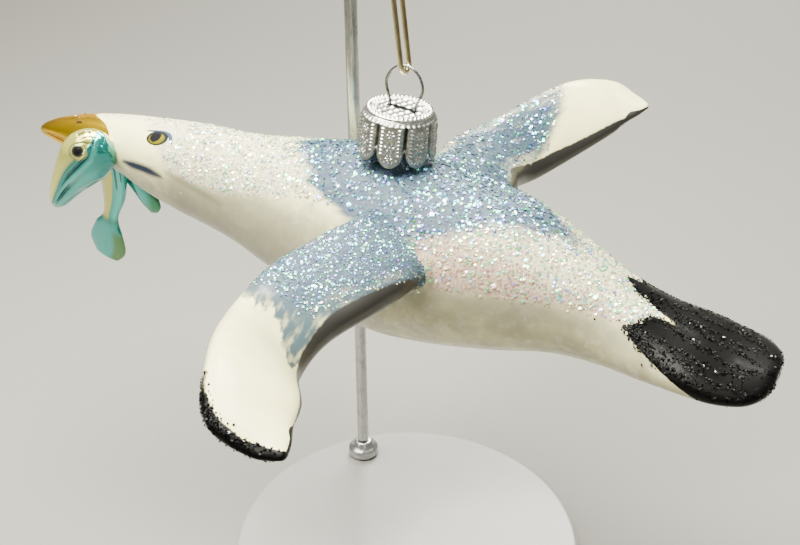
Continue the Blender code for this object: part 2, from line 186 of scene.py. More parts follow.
def read_numbers(elements, key, width=1, kind=np.float32):
    """What each element of a mesh keeps under a key, as rows of an array."""
    values = np.empty(len(elements) * width, kind)
    elements.foreach_get(key, values)
    return values.reshape(-1, width)


def read_points(mesh):
    """The mesh's points as rows of an array."""
    return read_numbers(mesh.vertices, "co", 3).astype(float)


def read_edges(mesh):
    """The two points of each edge of the mesh."""
    return read_numbers(mesh.edges, "vertices", 2, np.int32)


def move_points(mesh, points):
    """Move the mesh's points to the rows of an array."""
    mesh.vertices.foreach_set("co", points.astype(np.float32).ravel())
    mesh.update()


def store(mesh, name, values):
    """Keep one number, or one colour, for each point of a mesh."""
    if values.ndim == 1:
        layer = mesh.attributes.new(name, "FLOAT", "POINT")
        layer.data.foreach_set("value", values.astype(np.float32))
    else:
        layer = mesh.color_attributes.new(name, "FLOAT_COLOR", "POINT")
        colour = np.concatenate([values, np.ones((len(values), 1))], axis=1)
        layer.data.foreach_set("color", colour.astype(np.float32).ravel())


def put(name, data):
    """A new object in the scene."""
    thing = bpy.data.objects.new(name, data)
    bpy.context.collection.objects.link(thing)
    return thing


def add_piece(name, mesh, material, body="gull", replaces=(), smooth=True):
    """Put a finished mesh in the scene, hang it on its body's empty, and hide the parts that it replaces."""
    if smooth:
        mesh.shade_smooth()
    else:
        mesh.shade_flat()
    mesh.materials.append(material)
    piece = put(name, mesh)
    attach(piece, body)
    if replaces:
        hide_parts(*replaces)
    return piece


def applied(piece):
    """A new mesh with the object's modifiers applied."""
    graph = bpy.context.evaluated_depsgraph_get()
    return bpy.data.meshes.new_from_object(piece.evaluated_get(graph))


# ---- glass skin

def body_section(x):
    """Height of the middle, half width and half height of the body at places x along its flowing rows."""
    table = flowing(BODY, 900)
    return [np.interp(x, table[:, 0], table[:, k]) for k in (1, 2, 3)]


def body_oval(x, turn, grow):
    """Points of the body's oval sections at places x and turns round it from its right, grown outwards."""
    z, wide, high = body_section(x)
    return np.stack([x + 0 * turn, (wide + grow) * np.cos(turn), z + (high + grow) * np.sin(turn)], axis=-1)


def body_at(x, angle, grow=-SKIN_INSET):
    """Points of the body at places x and at angles in degrees from the back's ridge."""
    return body_oval(x, np.radians(90 - angle), grow)


def wing_spine(side, rows):
    """Middle, half chord from lead to trail, and half thickness vector of a wing along its ribs."""
    table = flowing(WING, rows)
    lead, trail = table[:, :3], table[:, 3:6]
    if side > 0:
        trail = trail + unit(trail - lead) * table[:, 7:8]
    middle = (lead + trail) / 2
    upright = unit(np.cross(trail - lead, np.gradient(middle, axis=0)))
    return middle, (trail - lead) / 2, upright * table[:, 6:7] / 2


def wing_rings(side, rows, columns):
    """Flat rounded ribs: a superellipse between the edges, its cosine and sine raised to the two powers."""
    middle, *axes = wing_spine(side, rows)
    reach, depth = (axis * (1 - SKIN_INSET / np.linalg.norm(axis, axis=1, keepdims=True)) for axis in axes)
    turn = full_turn(columns)
    across = np.sign(np.cos(turn)) * np.abs(np.cos(turn)) ** EDGE_POWER
    above = np.sign(np.sin(turn)) * np.abs(np.sin(turn)) ** FACE_POWER
    rings = rings_about(middle, reach, across[None], depth, above[None]) * (1, side, 1)
    return rings if side > 0 else rings[:, ::-1]


def root_share(points):
    """1 at a wing's root, easing to 0 at an ellipsoid round it."""
    away = (np.abs(points * (0, 1, 0)) + points * (1, 0, 1) - WING_ROOT) / WING_ROOT_REACH
    return 1 - ease(0.7, 1.3, np.linalg.norm(away, axis=1))


def neighbour_mean(values, edges):
    """The mean of a number over each point's neighbours."""
    one, other = edges.T
    total = np.bincount(one, values[other], len(values)) + np.bincount(other, values[one], len(values))
    return total / np.bincount(edges.ravel(), minlength=len(values))


def relax(points, edges, share, turns):
    """Move each point half its share of the way to the mean of its neighbours, a number of times."""
    for _ in range(turns):
        mean = np.stack([neighbour_mean(column, edges) for column in points.T], axis=1)
        points = points + 0.5 * share[:, None] * (mean - points)
    return points


def soften(values, edges, turns):
    """Average a number at each point with its neighbours', a number of times."""
    for _ in range(turns):
        values = 0.5 * (values + neighbour_mean(values, edges))
    return values


def skin_mesh():
    """Body and wings as one closed skin in the gull's frame, in millimetres.

    The three closed forms are joined by a voxel remesh, drawn back to their exact surfaces,
    and relaxed at the wings' roots into a smooth fillet.
    """
    rows, columns = BODY_GRID
    body = body_oval(flowing(BODY, rows)[:, :1], full_turn(columns)[None, :], -SKIN_INSET)
    points, quads, fans, start = [], [], [], 0
    for rings in (body, wing_rings(-1, *WING_GRID), wing_rings(1, *WING_GRID)):
        form, sides, ends = closed_tube(rings)
        points.append(form)
        quads.append(sides + start)
        fans.append(ends + start)
        start += len(form)
    forms = put("forms", build_mesh("forms", *(np.vstack(lot) for lot in (points, quads, fans))))
    remesh = forms.modifiers.new("join", "REMESH")
    remesh.mode = "VOXEL"
    remesh.voxel_size = SKIN_CELL
    joined = put("joined", applied(forms))
    forms.modifiers.remove(remesh)

    at_root = root_share(read_points(joined.data))
    draw = joined.vertex_groups.new(name="draw")
    draw.add(np.flatnonzero(at_root < 0.05).tolist(), 1.0, "REPLACE")
    wrap = joined.modifiers.new("draw", "SHRINKWRAP")
    wrap.target = forms
    wrap.vertex_group = "draw"
    mesh = applied(joined)
    bpy.data.objects.remove(forms)
    bpy.data.objects.remove(joined)

    edges, points = read_edges(mesh), read_points(mesh)
    points = relax(points, edges, root_share(points), FILLET_TURNS)
    move_points(mesh, relax(points, edges, np.full(len(points), 0.6), 3))
    return mesh


# ---- places on the skin

def body_place(points):
    """Angle in degrees from the back's ridge (0) by the flank (90) to the belly (180)."""
    z, wide, high = body_section(points[:, 0])
    return np.degrees(np.arctan2(np.abs(points[:, 1]) / wide, (points[:, 2] - z) / high))


def wing_place(points):
    """Length along the wing's middle line, and place over its chord (-1 lead, 1 trail) and thickness."""
    folded = points * (1, 0, 1) + np.abs(points * (0, 1, 0))
    span, chord, rise = np.zeros(len(points)), np.full(len(points), 9.0), np.full(len(points), 9.0)
    for side in (-1, 1):
        middle, reach, depth = wing_spine(side, 240)
        length = np.concatenate([[0], np.cumsum(np.linalg.norm(np.diff(middle, axis=0), axis=1))])
        outside = np.flatnonzero(points[:, 1] * side > 9)
        rib = np.linalg.norm(folded[outside, None] - middle[None], axis=2).argmin(1)
        away = folded[outside] - middle[rib]
        span[outside] = length[rib]
        for place, axis in ((chord, reach), (rise, depth)):
            place[outside] = (away * axis[rib]).sum(1) / (axis[rib] ** 2).sum(1)
    return span, chord, rise


# Edges of the painted and glittered fields on the body: rows of place and angle from the ridge
GLITTER_LOW = [(-54, 10), (-48, 50), (-44.5, 70), (-37, 76), (-29, 72), (-23, 65), (-12, 52), (0, 46),
               (3, 60), (14, 78), (19, 80), (27, 77), (33, 73), (42, 56), (47, 50), (50, 30)]
BLUE_LOW = [(0, 66), (10, 62), (12.7, 57), (16.5, 47), (20.9, 37), (24.4, 30), (31.7, 14), (38, -4)]
PINK_TOP = [(9, 36), (14, 44), (25, 52), (35, 55), (46, 44)]
# Upper edge of the underside's darker olive, partly the pearl's own tint and partly painted shade for light
# from above
BELLY_TOP = [(-60, 96), (-48, 84), (-40, 74), (-25, 64), (-10, 60), (2, 68), (14, 78), (27, 76), (33, 71),
             (42, 58), (47, 56)]
# Upper edge of the painted shade on the neck's side, under its glitter
NECK_PAINTED_SHADE = [(-48, 66), (-36, 55), (-24, 54), (-12, 64), (2, 88)]
TAIL_BLACK_LOW = [(44, 30), (46, 50), (47.3, 58), (49, 64), (52, 72), (55, 82), (58, 94), (61, 112),
                  (64, 190)]
GAPE = [(-56.4, 90), (-53.6, 87), (-50.4, 84.5), (-47.2, 84), (-44.4, 84.5)]
# Line of a darker olive stroke on the neck: painted shadow of a mould crease that the skin's form doesn't
# have
NECK_CREASE_SHADOW = [(-44, 76), (-41, 78.5), (-37, 81), (-33, 83), (-29, 85)]
# The same with angle first
BLUE_FRONT = [(0, -20), (16, -17.4), (29, -13), (41, -12), (48, -5.6), (60, -1), (90, 4)]
AMBER_REAR = [(0, -69), (16, -67.1), (35, -63.4), (50, -61.4), (68, -60.2), (120, -62), (180, -65)]
TAIL_FRONT = [(0, 44.5), (12, 46), (22, 48.5), (32, 48.2), (42, 47.2), (50, 46.2), (60, 45.0), (70, 46.5),
              (90, 50)]
# Outer and inner side of the pale wedge on the tail: place, distance from the middle
TAIL_WEDGE = [(44, 5.2), (47, 3.9), (50, 3.1), (54.5, 2.5), (57, 1.8)]
TAIL_SPINE = [(44, 0.2), (47, 0.7), (50, 1.3), (54.5, 2.3), (57, 3)]

# Edges on a wing: length along its middle line, chord place; near is the left wing, far the right
TRAIL_BLACK = [(9, 1.0), (12, 0.86), (16, 0.76), (20, 0.70), (30, 0.64), (38, 0.61), (42, 0.70), (54, 0.74),
               (60, 0.86), (64, 0.93), (70, 0.94), (74, 0.94), (76, 0.88)]
FAR_TRAIL_BLACK = [(9, 0.9), (16, 0.74), (24, 0.64), (38, 0.54), (46, 0.60), (54, 0.72), (62, 0.80),
                   (70, 0.78), (74, 0.76), (76, 0.7)]
LEAD_BLACK = [(58, -1.2), (62, -0.98), (66, -0.93), (67.5, -0.86), (69, -0.8), (70, -0.67), (71.4, -0.56),
              (73.2, -0.4), (74.5, 0.1), (75.5, 1.1)]
TRAIL_BLUE = [(9, 1.0), (12, 0.82), (20, 0.62), (30, 0.40), (40, 0.3)]
FAR_TRAIL_BLUE = [(9, 1.3), (14, 1.0), (20, 0.76), (28, 0.62), (36, 0.52), (46, 0.44), (60, 0.4)]
# The same with chord place first
FAR_BLUE_END = [(-1.0, 57), (-0.69, 56), (-0.1, 51.5), (0.42, 45), (0.69, 39)]
STROKE_END = [(-0.95, 34), (-0.8, 37), (-0.6, 38), (-0.3, 36), (0.0, 39), (0.25, 44), (0.5, 50),
              (0.66, 44), (0.8, 36)]
NEAR_BLUE_END = 33.5
HALF_CHORD = 7.0                    # a wing's mean half chord
DEGREE = 0.01745                    # one degree as an arc of radius 1
NEVER, ALWAYS = -9, 9               # distances that keep a field off, or on, whatever the others say


def stripe(x, angle, arc, line, half_width):
    """Distance inside a brush stroke that follows a line of (place, angle), pointed at its ends."""
    start, end = line[0][0], line[-1][0]
    share = np.clip((x - start) / (end - start), 0, 1)
    wide = half_width * np.sin(np.pi * share) ** 0.5
    off = np.abs(angle - along(line, x)) * arc
    beyond = np.maximum(start - x, x - end)
    return np.where(beyond > 0, -np.hypot(off, beyond), wide - off)


def body_fields(x, y, angle):
    """For each paint of the body, the distance in millimetres inside its field's edge."""
    arc = DEGREE * np.interp(x, BODY[:, 0], BODY[:, 2:].mean(1))

    def above(line):
        return (along(line, x) - angle) * arc

    glitter = np.minimum(above(GLITTER_LOW), (50 - x))
    tail_front = along(TAIL_FRONT, angle) - 3.2 * ease(0.0, 1.5, y)
    tail = np.minimum(above(TAIL_BLACK_LOW), x - tail_front)
    beside = np.maximum(np.abs(y) - along(TAIL_WEDGE, x), along(TAIL_SPINE, x) - np.abs(y))
    # Painted shade: a darker olive band just under the glitter on the flanks, and over the neck's side
    flank_painted_shade = np.minimum(2.6 - np.abs(angle - along(BELLY_TOP, x) - 9) * arc, (x + 6) * 0.4)
    neck_painted_shade = np.minimum(np.minimum(x + 44, -above(NECK_PAINTED_SHADE)), (4 - x) * 0.3)
    return {
        "glitter": glitter,
        "blue": np.minimum(x - along(BLUE_FRONT, angle), above(BLUE_LOW)),
        "strokes": NEVER,
        "black": np.where((angle < 90) & (y < 0), np.minimum(tail, beside), tail),
        "amber": along(AMBER_REAR, angle) - x,
        # The underside's darker olive: partly the pearl's tint, partly painted shade
        "belly": (angle - along(BELLY_TOP, x) + 5) * arc,
        # Painted shade under the glitter
        "shade": np.maximum(flank_painted_shade, neck_painted_shade),
        "pink": np.minimum(np.minimum(glitter + 1, -above(PINK_TOP)), np.minimum(x - 9, 46 - x)),
        "lengthwise": x,
        "crosswise": angle * arc,
        "wing": 0.0,
        "grey_black": 0.0,
        "gape": stripe(x, angle, arc, GAPE, 0.85),
        # Painted shadow of a crease on the neck
        "crease": stripe(x, angle, arc, NECK_CREASE_SHADOW, 0.5),
    }


def wing_fields(span, chord, rise, near, body):
    """The same for each paint of the wings; body's fields go on under a wing's root."""
    blue_end = np.where(near, NEAR_BLUE_END, along(FAR_BLUE_END, chord))
    blue_low = np.where(near, along(TRAIL_BLUE, span), along(FAR_TRAIL_BLUE, span))
    lead_rim = (chord + np.where(near, 1.04, 0.95)) * HALF_CHORD
    far_root = np.where(near, 0, 3 * ease(22, 14, span))
    blue = np.minimum(np.minimum(blue_end - span, (blue_low - chord) * HALF_CHORD),
                      np.minimum(np.where(span > 14, lead_rim, ALWAYS), (rise + 0.3) * 2 + far_root))
    under = ease(0.1, -0.7, rise)
    trail_line = np.where(near, along(TRAIL_BLACK, span), along(FAR_TRAIL_BLACK, span))
    trail = (chord - (trail_line * (1 - under) - 0.35 * under)) * HALF_CHORD
    lead = np.where(near, (along(LEAD_BLACK, span) - chord) * HALF_CHORD, NEVER)
    lead = np.maximum(lead, np.where(rise < -0.25, span - 58 + chord * 8, NEVER))
    root = np.where(near, span - 10.5 - 2 * under, span - 8)
    return {
        "glitter": np.minimum(blue + 0.3, np.where(near, 32.0 - span, 99)),
        "blue": blue,
        "strokes": np.where(near, np.minimum(along(STROKE_END, chord) - span, (rise + 0.3) * 8), NEVER),
        "black": np.minimum(np.maximum(trail, lead), root),
        # A wing's underside takes the darker olive too: partly the pearl's tint, partly painted shade
        "belly": np.maximum((-0.3 - rise) * 2, np.where(span < 17, body["belly"], NEVER)),
        # The body's painted shade carries on near a wing's root
        "shade": np.where(span > 16, NEVER, body["shade"]),
        "lengthwise": span,
        "crosswise": chord * HALF_CHORD,
        "wing": 1.0,
        # Where the black is the lighter grey black: the far wing, and the near wing short of its tip
        "grey_black": np.where(near, ease(66.0, 58.0, span), 1.0),
    }


def paint_fields(points):
    """For each paint, the distance in millimetres inside its field's edge, negative outside."""
    x, y, _ = points.T
    span, chord, rise = wing_place(points)
    beside_trail = (y > 0) & (chord > 0) & (chord < 1.5)
    on_wing = (span > 9) & ((np.abs(chord) < 1.12) | beside_trail) & (np.abs(rise) < 1.5) | (span > 22)
    body = body_fields(x, y, body_place(points))
    wing = wing_fields(span, chord, rise, y < 0, body)
    fields = {name: np.where(on_wing, wing.get(name, NEVER), field) for name, field in body.items()}
    return {name: field if name == "lengthwise" else np.clip(field, -40, 90)
            for name, field in fields.items()}


# ---- shader building blocks

class Flow:
    """A value on its way through a shader tree. The signs +, - and * on it add Math nodes."""

    def __init__(self, tree, socket):
        self.tree, self.socket = tree, socket

    def __add__(self, other):
        return self.tree.maths("ADD", self, other)

    def __radd__(self, other):
        return self.tree.maths("ADD", other, self)

    def __sub__(self, other):
        return self.tree.maths("SUBTRACT", self, other)

    def __rsub__(self, other):
        return self.tree.maths("SUBTRACT", other, self)

    def __mul__(self, other):
        return self.tree.maths("MULTIPLY", self, other)

    def larger(self, other):
        return self.tree.maths("MAXIMUM", self, other)

    def eased(self, low, high, to_low=0.0, to_high=1.0):
        """Smoothly map the value between two places to two readings."""
        return self.tree.flow("MapRange", {0: self, 1: low, 2: high, 3: to_low, 4: to_high},
                              interpolation_type="SMOOTHSTEP")


class Tree:
    """A shader tree, with short ways to add nodes and set or link their inputs."""

    def __init__(self, tree):
        self.tree = tree

    def add(self, kind, inputs, **settings):
        """A new node with its properties set, and each input set to a number or linked to a flow."""
        made = self.tree.nodes.new("ShaderNode" + kind)
        for key, value in settings.items():
            setattr(made, key, value)
        self.feed(made, inputs)
        return made

    def feed(self, node, inputs):
        for key, value in inputs.items():
            if isinstance(value, Flow):
                self.tree.links.new(value.socket, node.inputs[key])
            else:
                node.inputs[key].default_value = value

    def flow(self, kind, inputs, out=0, **settings):
        return Flow(self, self.add(kind, inputs, **settings).outputs[out])

    def maths(self, operation, first, second, clamp=False):
        return self.flow("Math", {0: first, 1: second}, operation=operation, use_clamp=clamp)

    def blend(self, share, first, second, kind="MIX"):
        """Mix two colours."""
        return self.flow("Mix", {0: share, 6: first, 7: second}, 2, data_type="RGBA", blend_type=kind)

    def noise(self, place, scale, detail=2.0, **more):
        return self.flow("TexNoise", {"Vector": place, "Scale": scale, "Detail": detail, **more})

    def reading(self, name, out="Fac"):
        """What the piece keeps under a name."""
        return self.flow("Attribute", {}, out, attribute_name=name)

    def millimetres(self):
        """Object coordinates in millimetres."""
        place = self.flow("TexCoord", {}, "Object")
        return self.flow("Mapping", {"Vector": place, "Scale": (1000, 1000, 1000)})


class Group(Tree):
    """A node group with named sockets; given holds the flows that it is handed."""

    def __init__(self, name, inputs, outputs):
        super().__init__(bpy.data.node_groups.new(name, "ShaderNodeTree"))
        for socket, kind, value in inputs:
            made = self.tree.interface.new_socket(socket, in_out="INPUT", socket_type="NodeSocket" + kind)
            if value is not None:
                made.default_value = value
        for socket, kind in outputs:
            self.tree.interface.new_socket(socket, in_out="OUTPUT", socket_type="NodeSocket" + kind)
        source = self.tree.nodes.new("NodeGroupInput")
        self.given = {socket: Flow(self, source.outputs[socket]) for socket, _, _ in inputs}
        self.result = self.tree.nodes.new("NodeGroupOutput")


class Finish(Tree):
    """A material and its shader, whose constant sockets are set from the settings."""

    def __init__(self, name, **settings):
        self.material = bpy.data.materials.new(name)
        self.material.use_nodes = True
        super().__init__(self.material.node_tree)
        self.paint(**settings)

    def paint(self, **inputs):
        """Set or link the shader's sockets; an underscore stands for a space in a socket's name."""
        shader = self.tree.nodes["Principled BSDF"]
        self.feed(shader, {key.replace("_", " "): value for key, value in inputs.items()})

    def relief(self, height, strength, distance):
        """Feed a height in through a bump, as the last touch; gives the material."""
        self.paint(Normal=self.flow("Bump", {"Height": height, "Strength": strength, "Distance": distance}))
        return self.material


def brushed_edge_group():
    """Mask of a painted field: its distance inside the edge, roughened by fine and drawn-out noise."""
    group = Group("brushed edge",
                  [("Field", "Float", 0.0), ("Place", "Vector", None), ("Ragged", "Float", 1.0),
                   ("Scale", "Float", 1.0), ("Soft", "Float", 0.3)],
                  [("Mask", "Float")])
    given = group.given
    noise = group.noise(given["Place"], given["Scale"], 4.0, Roughness=0.6)
    shift = (noise - 0.5) * (given["Ragged"] * 4.0)
    level = group.maths("DIVIDE", given["Field"] + shift, given["Soft"])
    group.feed(group.result, {"Mask": level.eased(-1.0, 1.0)})
    return group.tree


def glitter_grain_group():
    """Fine glitter: cells of random lightness and hue, the lighter cells being painted glints, and a height
    for each grain.
    """
    group = Group("glitter grain",
                  [("Place", "Vector", None), ("Scale", "Float", 3.0), ("Base", "Color", (0.5, 0.5, 0.5, 1)),
                   ("Hues", "Float", 0.3), ("Contrast", "Float", 1.0)],
                  [("Color", "Color"), ("Height", "Float")])
    given = group.given
    cells = group.flow("TexVoronoi", {"Vector": given["Place"], "Scale": given["Scale"]}, "Color")
    split = group.add("SeparateColor", {0: cells})
    glint_brightness, hue, height = (Flow(group, split.outputs[k]) for k in range(3))
    # Painted glints: some grains lighter than the paint beneath, some darker, each by a random number
    light = 1.0 + (group.maths("POWER", glint_brightness, 2.2) - 0.28) * given["Contrast"]
    tint = group.flow("CombineColor", {0: 0.30 + hue * 0.5, 1: 0.45, 2: 1.0}, mode="HSV")
    tinted = group.blend(given["Hues"], given["Base"], tint, "MULTIPLY")
    grey = group.flow("CombineColor", {0: light, 1: light, 2: light})
    group.feed(group.result, {"Color": group.blend(1.0, tinted, grey, "MULTIPLY"), "Height": height})
    return group.tree


# ---- materials

CREAM = (0.90, 0.87, 0.42, 1)
# Darker olives of the underside: partly the pearl's own tint, partly painted shade for light from above
OLIVE_PEARL_AND_SHADE = (0.42, 0.39, 0.235, 1)
PALE_PEARL_AND_SHADE = (0.54, 0.50, 0.35, 1)
# Painted shade under the glitter on the flanks and neck
PAINTED_SHADE_OLIVE = (0.235, 0.22, 0.145, 1)
FROST = (0.64, 0.57, 0.39, 1)
ROSE = (0.52, 0.33, 0.26, 1)
BLUE = (0.036, 0.060, 0.100, 1)
BLUE_STROKE = (0.060, 0.096, 0.112, 1)
STROKE_GREY = (0.055, 0.092, 0.102, 1)
NAVY = (0.006, 0.013, 0.034, 1)
# Painted shadow of a crease on the neck
CREASE_SHADOW_OLIVE = (0.16, 0.15, 0.08, 1)
JET = (0.007, 0.007, 0.0065, 1)
# Lighter grey black of the wings' black bands
GREY_BLACK = (0.095, 0.092, 0.084, 1)
AMBER = (1.0, 0.64, 0.0, 1)
# Darker amber: painted shade along the bill's top ridge, and random darker patches of the amber's own
AMBER_DARK = (0.46, 0.19, 0.0, 1)


def painted_glass(edge, grain):
    """The gull's skin: pearl cream, blue grey back, black tail and wing edges, amber bill, fine glitter and
    painted shade.
    """
    coat = Finish("painted glass", Coat_Roughness=0.12, IOR=1.4, Coat_IOR=1.4)
    place = coat.millimetres()
    lengthwise, crosswise = coat.reading("lengthwise"), coat.reading("crosswise")
    strokes = coat.flow("CombineXYZ", {0: lengthwise * 0.22, 1: crosswise})

    def mask(field, where, ragged, scale, soft):
        return coat.flow("Group", {"Field": coat.reading(field), "Place": where, "Ragged": ragged,
                                   "Scale": scale, "Soft": soft}, node_tree=edge)

    pearl = coat.noise(place, 0.22, 3.0)
    # The underside, mottled darker olive: partly the pearl's tint, partly painted shade for light from above
    belly = mask("belly", place, 1.2, 0.25, 4.0) * pearl.eased(0.2, 0.7, 0.6, 1.0)
    scaly = coat.noise(place, 0.55, 5.0, Roughness=0.65).eased(0.48, 0.62)
    colour = coat.blend(belly, CREAM, coat.blend(scaly, OLIVE_PEARL_AND_SHADE, PALE_PEARL_AND_SHADE))
    # Painted shade: a darker olive band under the glitter on the flanks and the neck's side
    colour = coat.blend(mask("shade", place, 1.4, 0.3, 3.0) * 0.7, colour, PAINTED_SHADE_OLIVE)

    glitter = mask("glitter", place, 0.8, 0.9, 1.2)
    frost = coat.blend(mask("pink", place, 1.6, 0.35, 2.2), FROST, ROSE)
    colour = coat.blend(glitter * 0.85, colour, frost)
    patch = coat.noise(strokes, 0.8, 3.0)
    thin = mask("strokes", strokes, 2.6, 1.1, 1.2) * patch.eased(0.25, 0.55, 0.45, 1.0)
    colour = coat.blend(thin, colour, STROKE_GREY)
    colour = coat.blend(mask("blue", strokes, 2.0, 0.55, 2.6), colour,
                        coat.blend(patch.eased(0.35, 0.7), BLUE, BLUE_STROKE))
    # Fine glitter grains over the paint, with painted glints
    sparkle = coat.add("Group", {"Place": place, "Scale": 4.6, "Base": colour, "Hues": 0.22,
                                 "Contrast": 0.75}, node_tree=grain)
    colour = coat.blend(glitter, colour, Flow(coat, sparkle.outputs["Color"]))

    bill = mask("amber", place, 0.12, 1.2, 0.25)
    # Darker amber along the bill's top ridge is painted shade; the random patches are the amber's own uneven
    # tone
    ridge = crosswise.eased(0.2, 3.6, 0.75, 0.0)
    deep = ridge.larger(coat.noise(place, 0.35, 2.0).eased(0.55, 0.8, 0.0, 0.35))
    colour = coat.blend(bill, colour, coat.blend(deep, AMBER, AMBER_DARK))
    # A darker olive line on the neck: painted shadow of a crease
    colour = coat.blend(mask("crease", place, 0.12, 0.8, 0.8) * 0.8, colour, CREASE_SHADOW_OLIVE)
    colour = coat.blend(mask("gape", strokes, 0.12, 1.0, 0.55), colour, NAVY)
    black = mask("black", place, 0.12, 1.1, 0.15)
    # The black paint: deep black on the tail and at the near wing's tip, a lighter grey black on the wings'
    # bands
    colour = coat.blend(black, colour, coat.blend(coat.reading("grey_black"), JET, GREY_BLACK))

    grainy = glitter * (1.0 - black)
    coat.paint(Base_Color=colour, Roughness=0.38 - bill * 0.08 + grainy * 0.2,
               Coat_Weight=0.4 - grainy.larger(black.larger(bill)) * 0.36,
               Metallic=coat.maths("ADD", black * 0.9, bill, clamp=True))
    height = Flow(coat, sparkle.outputs["Height"]) * grainy
    return coat.relief(height + pearl * 0.5, 0.5, 0.00008)


def flake_material(name, roughness):
    """Glitter flakes, each of its own tint and of its own share of bare foil, faintly clouded."""
    coat = Finish(name, Roughness=roughness)
    tint = coat.reading("tint", "Color")
    cloud = coat.noise(coat.millimetres(), 9.0).eased(0.3, 0.7, 0.0, 0.3)
    clouded = coat.blend(1.0, tint, (0.7, 0.75, 0.8, 1), "MULTIPLY")
    coat.paint(Base_Color=coat.blend(cloud, tint, clouded), Metallic=coat.reading("foil"))
    return coat.material


def enamel_material(name, mottle, **settings):
    """Gloss paint whose colours are kept on the piece, with a faint cloudiness and brush relief."""
    coat = Finish(name, Coat_Roughness=0.06, **settings)
    place, colour = coat.millimetres(), coat.reading("paint", "Color")
    cloud = coat.noise(place, 0.9, 3.0).eased(0.25, 0.75, 0.0, mottle)
    coat.paint(Base_Color=coat.blend(cloud, colour, coat.blend(1.0, colour, (0.6, 0.7, 0.62, 1), "MULTIPLY")))
    return coat.relief(coat.noise(place, 2.5), 0.25, 0.00006)


def metal_material(name, colour, roughness, grain_scale=2.0, drawn=(1, 1, 1)):
    """Bare metal with cloudy tarnish and fine drawn marks, which also vary its roughness by 0.04 each way."""
    coat = Finish(name, Metallic=1.0)
    place = coat.millimetres()
    cloud = coat.noise(place, 0.5, 4.0).eased(0.45, 0.75)
    darker = tuple(channel * 0.72 for channel in colour)
    marks = coat.noise(coat.flow("Mapping", {"Vector": place, "Scale": drawn}), grain_scale, 3.0)
    coat.paint(Base_Color=coat.blend(cloud, (*colour, 1), (*darker, 1)),
               Roughness=marks.eased(0.3, 0.7, roughness - 0.04, roughness + 0.04))
    return coat.relief(marks, 0.2, 0.00003)


def foil_material():
    """Thin silvered foil, dull and grey where the tarnish kept on the piece is high."""
    coat = Finish("silvered foil", Metallic=1.0)
    place = coat.millimetres()
    dull = coat.reading("tarnish") * coat.noise(place, 0.9, 4.0).eased(0.2, 0.7, 0.75, 1.0)
    coat.paint(Base_Color=coat.blend(dull, (0.76, 0.75, 0.69, 1), (0.10, 0.10, 0.09, 1)),
               Roughness=dull.eased(0.0, 1.0, 0.2, 0.42))
    return coat.relief(coat.noise(place, 2.2), 0.35, 0.00006)


def lacquer_material():
    """Satin off-white lacquer with a faint orange-peel relief."""
    coat = Finish("pale lacquer", Coat_Weight=0.3, Coat_Roughness=0.15)
    place = coat.millimetres()
    peel, tone = coat.noise(place, 1.4), coat.noise(place, 0.06, 3.0).eased(0.3, 0.7)
    coat.paint(Base_Color=coat.blend(tone, (0.26, 0.256, 0.240, 1), (0.285, 0.28, 0.265, 1)),
               Roughness=peel.eased(0.3, 0.7, 0.34, 0.42))
    return coat.relief(peel, 0.15, 0.0001)


# ---- skin and glitter pieces

def bill_crease(points):
    """Press the line between the bill's halves into its sides: a narrow valley at an angle that
    drops towards the gape, fading out at the head."""
    x, angle = points[:, 0], body_place(points)
    depth = 0.3 * hill(angle, 96 + 0.9 * (x + 84), 7.0) * ease(-56, -62, x) * ease(-85, -82, x)
    return points - (0, 1, 0) * np.sign(points[:, 1:2]) * depth[:, None]


def gull_skin(material):
    """The painted skin in place, and its points, normals, faces and paint fields in the gull's frame."""
    mesh = skin_mesh()
    points = bill_crease(read_points(mesh))
    fields, edges = paint_fields(points), read_edges(mesh)
    for name in ("black", "blue", "strokes", "glitter", "belly"):
        fields[name] = soften(fields[name], edges, 6)
    for name, values in fields.items():
        store(mesh, name, values)
    move_points(mesh, points)
    normals = read_numbers(mesh.vertices, "normal", 3).astype(float)
    quads = read_numbers(mesh.loops, "vertex_index", 1, np.int32).reshape(-1, 4)
    move_points(mesh, to_world(points))
    add_piece("gull_skin", mesh, material,
              replaces=("bill", "head", "neck", "trunk", "tail", "wing_left", "wing_right"))
    return points, normals, quads, fields


def scatter(rng, skin, density):
    """Places on the skin drawn at random so that each face gets its area times its density.

    density is per point, in flakes for each square millimetre. A place is a bilinear mean of
    its face's corners.
    """
    points, normals, quads, _ = skin
    corner = points[quads]
    area = np.linalg.norm(np.cross(corner[:, 2] - corner[:, 0], corner[:, 3] - corner[:, 1]), axis=1) / 2
    share = area * density[quads].mean(1)
    count = rng.poisson(share.sum())
    face = rng.choice(len(quads), count, p=share / share.sum())
    s, t = rng.random((2, count))
    weight = np.stack([(1 - s) * (1 - t), s * (1 - t), s * t, (1 - s) * t], axis=1)[..., None]
    place = (points[quads[face]] * weight).sum(1)
    facing = unit((normals[quads[face]] * weight).sum(1))
    return place, facing, quads[face, 0]


FLAKE_SIDES = 6
FLAKE_THICK = 0.09                  # half its thickness as a share of its size
MAP_START, MAP_SPREAD = (90, 75), (340, 320)
MAP_PATCH = 0.0015                  # size of a flake on the map for baking


